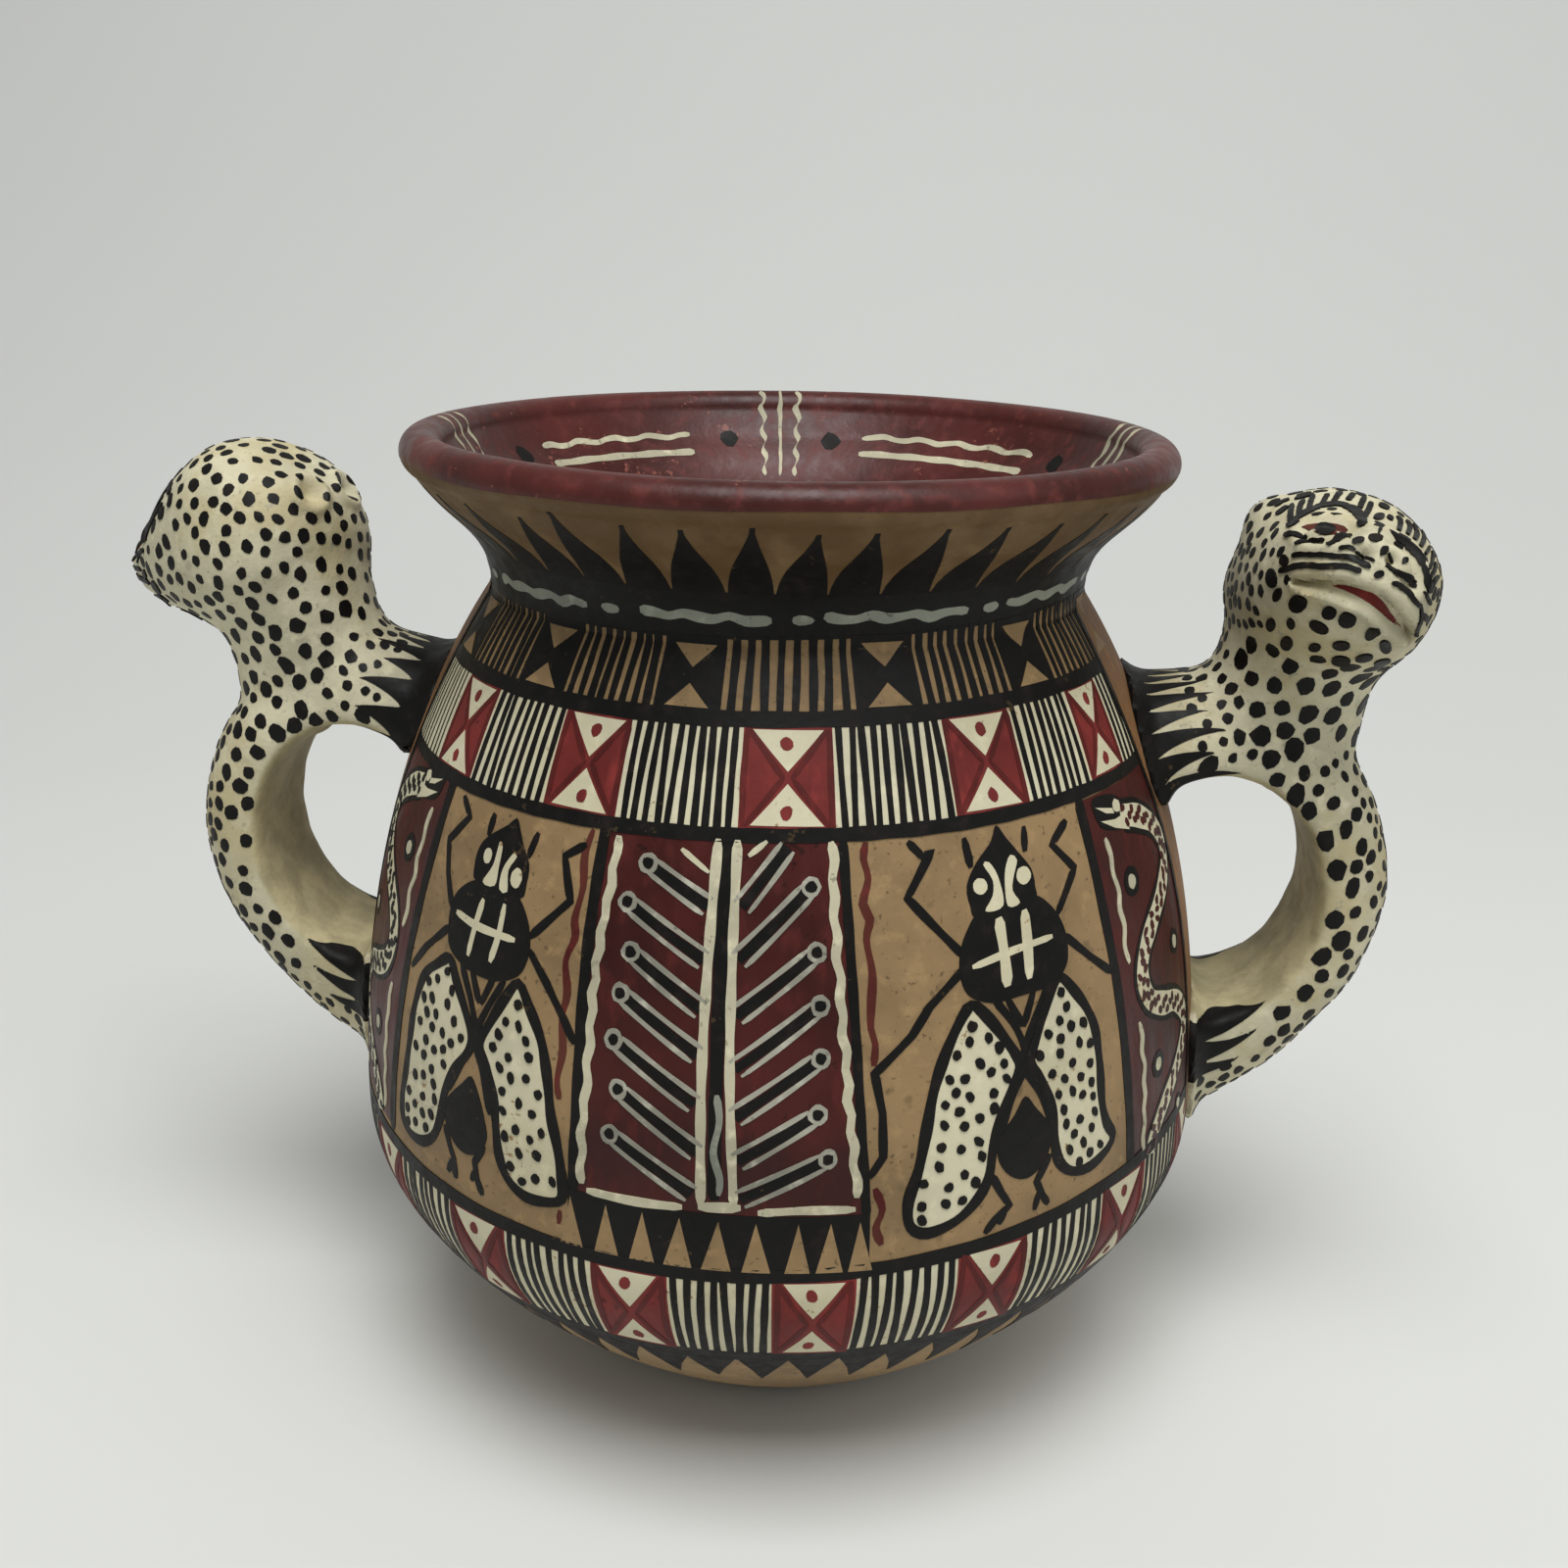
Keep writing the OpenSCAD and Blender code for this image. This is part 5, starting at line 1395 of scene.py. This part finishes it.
class HandleSlip:
    """Thin closed patches of slip on one handle, gathered into one piece"""

    def __init__(self, name, kind, side, lift=0.1):
        self.name, self.kind, self.side, self.lift = name, kind, side, lift
        base = bpy.data.objects["handle_" + side].data
        flat = np.empty(len(base.vertices) * 3)
        base.vertices.foreach_get("co", flat)
        pose = HANDLES[side]
        turned = np.array(Matrix.Rotation(math.radians(-pose["round"]), 3, "Z"))
        self.places = ((flat.reshape(-1, 3) / MM) - np.array([0, 0, pose["rise"]])) @ turned.T
        self.quads = [tuple(face.vertices) for face in base.polygons]
        self.out = facings(self.places, self.quads)
        self.tree = BVHTree.FromPolygons([Vector(p) for p in self.places], self.quads)
        self.random = random.Random(pose["seed"] + len(name))
        self.points, self.faces, self.laid = [], [], 0

    def onto(self, point, lift):
        """The nearest place on the handle, lifted off it, and the facing there"""
        found, facing, _, _ = self.tree.find_nearest(Vector(point))
        return np.array(found + facing * lift), np.array(facing)

    def lay(self, top, bottom, triangles):
        offset = len(self.points)
        self.points += list(top) + list(bottom)
        self.faces += close_slab(len(top), triangles, offset)

    def daub(self, point, wide, high, lean, sides=9, rough=0.14):
        """A spot with an uneven edge"""
        middle, facing = self.onto(point, 0)
        first = np.cross(facing, (0.3, 0.2, 0.93))
        first /= np.linalg.norm(first)
        second = np.cross(facing, first)
        rim = []
        for k in range(sides):
            turn = 2 * math.pi * k / sides
            size = 1 + self.random.uniform(-rough, rough)
            x, y = wide * size * math.cos(turn), high * size * math.sin(turn)
            x, y = x * math.cos(lean) - y * math.sin(lean), x * math.sin(lean) + y * math.cos(lean)
            rim.append(middle + first * x + second * y)
        self.patch(middle, rim)

    def patch(self, middle, rim):
        """A filled shape inside a rim of places"""
        self.laid += 1
        lift = self.lift + 0.0009 * (self.laid % 20)
        sides = len(rim)
        inner = [middle + 0.55 * (spot - middle) for spot in rim]
        flat = list(rim) + inner + [middle]
        top = [self.onto(p, lift)[0] for p in flat]
        bottom = [self.onto(p, SUNK)[0] for p in flat]
        faces = [(k, (k + 1) % sides, sides + (k + 1) % sides, sides + k) for k in range(sides)]
        faces += [(sides + k, sides + (k + 1) % sides, 2 * sides) for k in range(sides)]
        self.lay(top, bottom, faces)

    def stroke(self, marks, taper=0.6, step=0.5):
        """A brush line through places that each carry their own width"""
        self.laid += 1
        lift = self.lift + 0.0009 * (self.laid % 20)
        path = smooth_path(marks, step)
        found = [self.onto(p[:3], 0) for p in path]
        spots = np.array([f[0] for f in found])
        along = np.gradient(spots, axis=0)
        n = len(spots)
        rows = [[] for _ in range(5)]
        for k in range(n):
            side = np.cross(found[k][1], along[k])
            side /= max(np.linalg.norm(side), 1e-9)
            half = 0.5 * path[k][3] * (1 + 0.08 * math.sin(1.7 * k + self.laid))
            if k in (0, n - 1):
                half *= taper
            for row, share in zip(rows, (-1, -0.5, 0, 0.5, 1)):
                row.append(spots[k] + side * half * share)
        flat = [p for row in rows for p in row]
        top = [self.onto(p, lift)[0] for p in flat]
        bottom = [self.onto(p, SUNK)[0] for p in flat]
        self.lay(top, bottom, [(r * n + i, r * n + i + 1, (r + 1) * n + i + 1, (r + 1) * n + i)
                               for r in range(4) for i in range(n - 1)])

    def zone(self, field):
        """A coat over every place where the field is below zero, cut cleanly along its edge"""
        self.laid += 1
        below = field < 0
        triangles = []
        for f in self.quads:
            triangles.append((f[0], f[1], f[2]))
            if len(f) == 4:
                triangles.append((f[0], f[2], f[3]))
        triangles = np.array(triangles)
        count = below[triangles].sum(1)
        keep = [tuple(t) for t in triangles[count == 3]]
        places, out, named = [], [], {}

        def put(key, place, facing):
            if key not in named:
                named[key] = len(places)
                places.append(place)
                out.append(facing)
            return named[key]

        def whole(i):
            return put(int(i), self.places[i], self.out[i])

        def cut(i, j):
            i, j = (int(i), int(j)) if i < j else (int(j), int(i))
            share = min(0.97, max(0.03, field[i] / (field[i] - field[j])))
            return put((i, j), self.places[i] + (self.places[j] - self.places[i]) * share,
                       self.out[i] + (self.out[j] - self.out[i]) * share)
        faces = [tuple(whole(i) for i in t) for t in keep]
        for t in triangles[(count == 1) | (count == 2)]:
            ring = []
            for k in range(3):
                i, j = t[k], t[(k + 1) % 3]
                if below[i]:
                    ring.append(whole(i))
                if below[i] != below[j]:
                    ring.append(cut(i, j))
            faces.append(tuple(ring))
        if not faces:
            return
        places, out = np.array(places), np.array(out)
        out /= np.maximum(np.linalg.norm(out, axis=1), 1e-9)[:, None]
        self.lay(places + out * self.lift, places + out * SUNK, faces)

    def build(self):
        points = to_place(np.array(self.points), self.side) * MM
        return new_piece(self.name, points, self.faces, slip(self.kind), smooth=50.0)


def fingers(turn, count, low, high):
    """A row of long points round the arm, as a distance off the wall"""
    place = turn * count / (2 * math.pi)
    share = np.abs((place % 1.0) * 2 - 1)
    uneven = np.sin(np.floor(place + 0.5) * 2.4) * 1.4
    return low + (high + uneven - low) * share ** 1.15


def scatter(coat, allowed, gaps, seed):
    """Places on the handle for spots, each at least its own gap from the others"""
    order = [int(i) for i in np.flatnonzero(allowed)]
    random.Random(seed).shuffle(order)
    put = np.full((len(order), 3), 1e6)
    chosen = []
    for i in order:
        place = coat.places[i]
        n = len(chosen)
        if n and (((put[:n] - place) ** 2).sum(1) < gaps[i] ** 2).any():
            continue
        put[n] = place
        chosen.append(i)
    return chosen


def close_to(places, spots, reach):
    """Which places lie within reach of any of the spots"""
    found = np.zeros(len(places), bool)
    for spot, far in zip(spots, np.broadcast_to(reach, len(spots))):
        found |= ((places - spot) ** 2).sum(1) < far ** 2
    return found


def face_marks(side):
    """Brush marks and big spots of one head; the left head carries the near side on both cheeks"""
    if side == "right":
        return NEAR_MARKS + FAR_MARKS, FACE_SPOTS
    marks = [tuple((x, flip * y, z, wide) for x, y, z, wide in mark)
             for mark in NEAR_MARKS for flip in (1, -1)]
    daubs = [tuple((x, flip * y, z) for x, y, z in daub) for daub in FACE_SPOTS
             if daub[0][1] < -2.5 for flip in (1, -1)]
    return marks, daubs


def free_of_spots(side, local, on_head, slit, half):
    """Where a head carries no scattered spot: its mouth, eyes, brush marks, big spots, snout and ears"""
    on_face = on_head & (local[:, 0] > FACE_FRONT)
    found = on_face & (slit > -half - 1.6) & (slit < half + 2.2) & (half > 0)
    flat = np.array(bpy.data.objects["handle_" + side]["eye_frames"]).reshape(2, 4, 3)
    for (centre, outward, over, _), (_, _, long, high) in zip(flat, FACES[side]["eyes"]):
        d = local - centre
        u, v = d @ outward, d @ over
        found |= on_face & (np.hypot(u / (long + 0.8), (v - 0.25 * high) / (high + 1.0)) < 1)
    marks, daubs = face_marks(side)
    for mark in marks:
        path = smooth_path(mark, 1.0)
        found |= close_to(local, path[:, :3], 0.95 + 0.5 * path[:, 3])
    found |= close_to(local, np.array([d[0] for d in daubs]), [np.linalg.norm(d[1]) + 1.5 for d in daubs])
    found |= on_head & (local[:, 0] > 12.5) & (slit < 0) & (local[:, 2] > -11) & (local[:, 1] > -10.5)
    for ear in FACES[side]["ears"]:
        found |= np.linalg.norm(local - np.array(ear), axis=1) < 1.6
    return found


def paint_handle(side, spot_size, spot_gap):
    """Black attachments with long points, black spots, and the face"""
    pose = HANDLES[side]
    near_head = side == "right"
    black = HandleSlip("handle_%s_black" % side, "black", side)
    places = black.places
    wall = off_wall(places + np.array([0.0, 0.0, pose["rise"]]))[0]
    degrees, up, turn = strap_place(places, pose["flare"])
    across = np.clip((places[:, 0] - GAP_X) / GAP_W, -0.98, 0.98)
    drop = GAP_Z - GAP_H / 2 * np.sqrt(1 - across ** 2) - places[:, 2]
    upper = places[:, 2] > GAP_Z
    edge = np.where(upper, fingers(turn + 0.1, *ARM_FINGERS[side]),
                    np.interp(drop, ROOT_FINGER_DROP, ROOT_FINGER_REACH))
    field = np.maximum(wall - edge, -1.2 - wall)
    black.zone(np.where(places[:, 0] < 84, field, OUTSIDE))

    # Spots keep off the black ends, the strap's inner face and the face's own marks
    turned, middle = head_turning(side)
    local = (places - middle) @ turned
    slit, half, face_turn = mouth_slit(local)
    on_head = np.linalg.norm(local, axis=1) < SKULL_REACH
    on_face = on_head & (local[:, 0] > FACE_FRONT)
    on_skull = on_head & (local[:, 2] > -14)
    on_strap = places[:, 2] < 98
    on_inner = (up < 2.2) & (np.abs(degrees) < 118) & (places[:, 2] < 97) & (np.abs(places[:, 1]) < 13)
    nearest = np.where(upper, 7.0, np.where(drop < 9.5, 11.5, 0.8))
    allowed = (wall > edge + np.where(upper, 1.5, 1.0)) & (wall > nearest) & ~on_inner
    allowed &= ~free_of_spots(side, local, on_head, slit, half)

    # Their size, as a share of the Spot Size, on the skull, chin, nape, strap and near the wall
    share = np.where(on_skull, 0.74 if near_head else 0.88, 1.06)
    share = np.where(on_face & (slit < -half - 1.8) & (slit > -8.5), 1.12, share)
    nape = ~on_strap & (local[:, 2] < -9) & (wall > 15)
    share = np.where(nape, 1.3 if near_head else 1.1, share)
    inner_row = 1.3 if near_head else 1.1
    share = np.where(on_strap & (up < 5.0), inner_row, np.where(on_strap & (up > 9.0), 0.85, share))
    share = np.where((wall < 14) & ~on_strap, 0.6 + 0.02 * wall, share)
    spots = HandleSlip("handle_%s_spots" % side, "black", side)
    sparse = np.where(on_skull, 1.0 if near_head else 1.1, 1.0)
    for i in scatter(spots, allowed, spot_gap * sparse * share ** 0.8, pose["seed"] + 3):
        size = spot_size * share[i] * spots.random.uniform(0.8, 1.12)
        high = size * spots.random.uniform(1.0, 1.4)
        spots.daub(spots.places[i], size, high, spots.random.uniform(-0.6, 0.6))

    red = HandleSlip("handle_%s_mouth" % side, "red", side, lift=0.06)
    low_red = np.interp(face_turn, MOUTH_TURN, RED_LOW)
    top_red = np.interp(face_turn, MOUTH_TURN, MOUTH_TOP) - 0.05
    ends = np.maximum(RED_ENDS[0] - face_turn, face_turn - RED_ENDS[1])
    height = local[:, 2]
    red.zone(np.where(on_face, np.maximum(np.maximum(low_red - height, height - top_red), ends), OUTSIDE))
    face = HandleSlip("handle_%s_face" % side, "black", side, lift=0.28)
    eyes = HandleSlip("handle_%s_eyes" % side, "rust", side, lift=0.16)

    def world(points):
        return [np.append(np.asarray(p[:3]) @ turned.T + middle, p[3:]) for p in points]

    marks, daubs = face_marks(side)
    for mark in marks:
        face.stroke(world(mark))
    for centre, first, second in daubs:
        rim = [np.array(centre) + np.array(first) * math.cos(t) + np.array(second) * math.sin(t)
               for t in np.arange(12) * math.pi / 6]
        face.patch(world([centre])[0], world(rim))
    for flip in ((1,) if near_head else (1, -1)):
        for coat, rim in ((eyes, EYE_LENS), (face, EYE_IRIS)):
            rim = world([(x, flip * y, z) for x, y, z in rim])
            coat.patch(np.mean(rim, axis=0), rim)
    return [made.build() for made in (black, spots, red, face, eyes)]


# ---- Stage ----
CAMERA_AT = (0.02161, -0.24702, 0.17045)
CAMERA_LENS = 38.97
CAMERA_ROUND, CAMERA_DOWN, CAMERA_ROLL = 5.0, 18.57, 1.10
SWEEP_HALF, SWEEP_FRONT, SWEEP_BACK, SWEEP_TOP, SWEEP_BEND = 3.0, -3.0, 0.95, 3.0, 0.7
ROOM_TINT, ROOM_LEVEL = (0.985, 1.0, 0.985, 1.0), 0.30
# Each lamp: name, place, what it faces, size and power
LAMPS = (("key_softbox", (0.06, -0.42, 1.22), (0.0, 0.12, 0.05), 0.75, 14.2),
         ("fill_softbox", (0.9, -0.5, 0.9), (0.0, 0.0, 0.08), 0.9, 2.2))


def stage_material(name, colour):
    material = bpy.data.materials.new(name)
    material.use_nodes = True
    tree = material.node_tree
    shader = tree.nodes["Principled BSDF"]
    place = add_node(tree, "ShaderNodeTexCoord").outputs["Object"]
    soft = blend_tone(tree, spread(tree, noise(tree, place, 1.6, 2.0), 0.3, 0.7), colour,
                      tuple(0.97 * part for part in colour))
    tree.links.new(soft, shader.inputs["Base Color"])
    shader.inputs["Roughness"].default_value = 0.75
    shader.inputs["Specular IOR Level"].default_value = 0.2
    return material


def build_stage(colour, light):
    """Pale floor that sweeps up into a backdrop, soft lamps and the camera"""
    back, bend = SWEEP_BACK, SWEEP_BEND
    run = [(SWEEP_FRONT, 0.0), (back - bend, 0.0)]
    run += [(back - bend + bend * math.sin(t), bend - bend * math.cos(t))
            for t in np.radians(np.arange(6, 91, 6))]
    run += [(back, SWEEP_TOP)]
    points = [(x, y, z) for y, z in run for x in (-SWEEP_HALF, SWEEP_HALF)]
    faces = [(2 * k, 2 * k + 1, 2 * k + 3, 2 * k + 2) for k in range(len(run) - 1)]
    mesh = bpy.data.meshes.new("floor_sweep")
    mesh.from_pydata(points, [], faces)
    mesh.shade_smooth()
    mesh.materials.append(stage_material("pale_sweep", colour))
    floor = bpy.data.objects.new("floor_sweep", mesh)
    bpy.context.scene.collection.objects.link(floor)

    world = bpy.data.worlds.new("soft_room")
    world.use_nodes = True
    world.node_tree.nodes["Background"].inputs["Color"].default_value = ROOM_TINT
    world.node_tree.nodes["Background"].inputs["Strength"].default_value = ROOM_LEVEL * light
    bpy.context.scene.world = world
    for name, place, aim, size, power in LAMPS:
        lamp = bpy.data.lights.new(name, "AREA")
        lamp.shape, lamp.size, lamp.energy = "SQUARE", size, power * light
        holder = bpy.data.objects.new(name, lamp)
        holder.location = place
        holder.rotation_euler = (Vector(aim) - Vector(place)).to_track_quat("-Z", "Y").to_euler()
        bpy.context.scene.collection.objects.link(holder)

    down, roll = math.radians(CAMERA_DOWN), math.radians(CAMERA_ROLL)
    spin = np.array(Matrix.Rotation(math.radians(CAMERA_ROUND), 3, "Z"))
    ahead = spin @ np.array([0, math.cos(down), -math.sin(down)])
    over = spin @ np.array([0, math.sin(down), math.cos(down)])
    right = spin @ np.array([1.0, 0, 0])
    side = math.cos(roll) * right + math.sin(roll) * over
    top = math.cos(roll) * over - math.sin(roll) * right
    view = Matrix([[side[k], top[k], -ahead[k], CAMERA_AT[k]] for k in range(3)] + [[0, 0, 0, 1]])
    lens = bpy.data.cameras.new("photo_camera")
    lens.lens, lens.sensor_width, lens.sensor_fit = CAMERA_LENS, 36.0, "HORIZONTAL"
    lens.clip_start, lens.clip_end = 0.01, 20.0
    camera = bpy.data.objects.new("photo_camera", lens)
    camera.matrix_world = view
    bpy.context.scene.collection.objects.link(camera)
    bpy.context.scene.camera = camera
    bpy.context.scene.view_settings.view_transform = "Standard"


# ---- Add-on: sizes and colours, one operator for each group of pieces, a panel ----
class VaseSlips(bpy.types.PropertyGroup):
    """Colours of the clay and of the slips painted on it"""
    clay: FloatVectorProperty(name="Clay", description="Warm tan of the burnished body", subtype="COLOR",
                              size=3, min=0, max=1, default=tone(147, 121, 85))
    cream: FloatVectorProperty(name="Cream", description="Pale slip of the handles, wings and bands",
                               subtype="COLOR", size=3, min=0, max=1, default=tone(206, 200, 171))
    black: FloatVectorProperty(name="Black", description="Brown-black slip of lines, teeth and spots",
                               subtype="COLOR", size=3, min=0, max=1, default=tone(18, 17, 16))
    maroon: FloatVectorProperty(name="Maroon", description="Deep slip of the rim and the fern panels",
                                subtype="COLOR", size=3, min=0, max=1, default=tone(69, 21, 17))
    red: FloatVectorProperty(name="Red", description="Brighter slip of the blocks and the mouths",
                             subtype="COLOR", size=3, min=0, max=1, default=tone(117, 43, 40))


class VaseHandles(bpy.types.PropertyGroup):
    """How finely the handles are shaped and how they are spotted"""
    voxel: FloatProperty(name="Skin Step", description="Spacing of the modelled skin, in millimetres",
                         default=0.55, min=0.4, max=1.2)
    spot_size: FloatProperty(name="Spot Size", description="Half width of one spot, in millimetres",
                             default=1.0, min=0.6, max=2.0)
    spot_gap: FloatProperty(name="Spot Gap", description="Least distance between two spots, in millimetres",
                            default=2.5, min=2.0, max=7.0)


class VaseStage(bpy.types.PropertyGroup):
    """The pale floor and the light"""
    sweep: FloatVectorProperty(name="Floor", description="Colour of the floor and the backdrop",
                               subtype="COLOR", size=3, min=0, max=1, default=tone(216, 217, 214))
    light: FloatProperty(name="Light", description="Level of all the lamps and the room together",
                         default=1.0, min=0.1, max=4.0, subtype="FACTOR")


class VASE_OT_throw_body(bpy.types.Operator):
    """Throw the wall of the vase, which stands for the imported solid"""
    bl_idname = "vase.throw_body"
    bl_label = "Throw Body"

    def execute(self, context):
        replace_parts(throw_body(), "vase")
        return {"FINISHED"}


class VASE_OT_paint_rim(bpy.types.Operator):
    """Coat the lip and the inside of the mouth, with their marks"""
    bl_idname = "vase.paint_rim"
    bl_label = "Paint Rim"

    def execute(self, context):
        paint_rim()
        return {"FINISHED"}


class VASE_OT_paint_neck(bpy.types.Operator):
    """Paint the neck band, its flame teeth and its pale dashes"""
    bl_idname = "vase.paint_neck"
    bl_label = "Paint Neck"

    def execute(self, context):
        paint_neck()
        return {"FINISHED"}


class VASE_OT_paint_bands(bpy.types.Operator):
    """Paint the three banded friezes, their lines and the foot teeth"""
    bl_idname = "vase.paint_bands"
    bl_label = "Paint Bands"

    def execute(self, context):
        paint_bands()
        return {"FINISHED"}


class VASE_OT_paint_panels(bpy.types.Operator):
    """Paint the fern, fly and snake panels of the belly"""
    bl_idname = "vase.paint_panels"
    bl_label = "Paint Panels"

    def execute(self, context):
        paint_panels()
        return {"FINISHED"}


class VASE_OT_paint_strips(bpy.types.Operator):
    """Paint the bare strips and black edges beside the handles"""
    bl_idname = "vase.paint_strips"
    bl_label = "Paint Strips"

    def execute(self, context):
        paint_strips()
        return {"FINISHED"}


class VASE_OT_model_handles(bpy.types.Operator):
    """Model both handles with their heads"""
    bl_idname = "vase.model_handles"
    bl_label = "Model Handles"

    def execute(self, context):
        for side in HANDLES:
            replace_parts(build_handle(side, context.scene.vase_handles.voxel), "vase")
        return {"FINISHED"}


class VASE_OT_paint_handles(bpy.types.Operator):
    """Paint the handles' black ends, spots and faces"""
    bl_idname = "vase.paint_handles"
    bl_label = "Paint Handles"

    def execute(self, context):
        sizes = context.scene.vase_handles
        for side in HANDLES:
            paint_handle(side, sizes.spot_size, sizes.spot_gap)
        return {"FINISHED"}


class VASE_OT_build_stage(bpy.types.Operator):
    """Set the floor, the backdrop, the lamps and the camera"""
    bl_idname = "vase.build_stage"
    bl_label = "Build Stage"

    def execute(self, context):
        stage = context.scene.vase_stage
        build_stage(tuple(stage.sweep), stage.light)
        return {"FINISHED"}


class VIEW3D_PT_vase(bpy.types.Panel):
    """Lists the vase's colours, sizes and building steps"""
    bl_idname = "VIEW3D_PT_vase"
    bl_label = "Painted Vase"
    bl_space_type = "VIEW_3D"
    bl_region_type = "UI"
    bl_category = "Vase"

    def draw(self, context):
        scene = context.scene
        for group in (scene.vase_slips, scene.vase_handles, scene.vase_stage):
            box = self.layout.box()
            for key in group.__annotations__:
                box.prop(group, key)
        for operator in OPERATORS:
            self.layout.operator(operator.bl_idname)


OPERATORS = (VASE_OT_build_stage, VASE_OT_throw_body, VASE_OT_paint_rim, VASE_OT_paint_neck,
             VASE_OT_paint_bands, VASE_OT_paint_panels, VASE_OT_paint_strips, VASE_OT_model_handles,
             VASE_OT_paint_handles)
CLASSES = (VaseSlips, VaseHandles, VaseStage) + OPERATORS + (VIEW3D_PT_vase,)


def register():
    for made in CLASSES:
        bpy.utils.register_class(made)
    bpy.types.Scene.vase_slips = PointerProperty(type=VaseSlips)
    bpy.types.Scene.vase_handles = PointerProperty(type=VaseHandles)
    bpy.types.Scene.vase_stage = PointerProperty(type=VaseStage)


def unregister():
    del bpy.types.Scene.vase_stage
    del bpy.types.Scene.vase_handles
    del bpy.types.Scene.vase_slips
    for made in reversed(CLASSES):
        bpy.utils.unregister_class(made)


def main():
    register()
    bpy.ops.vase.build_stage()
    bpy.ops.vase.throw_body()
    bpy.ops.vase.paint_rim()
    bpy.ops.vase.paint_neck()
    bpy.ops.vase.paint_bands()
    bpy.ops.vase.paint_panels()
    bpy.ops.vase.paint_strips()
    bpy.ops.vase.model_handles()
    bpy.ops.vase.paint_handles()
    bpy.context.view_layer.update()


if __name__ == "__main__":
    main()
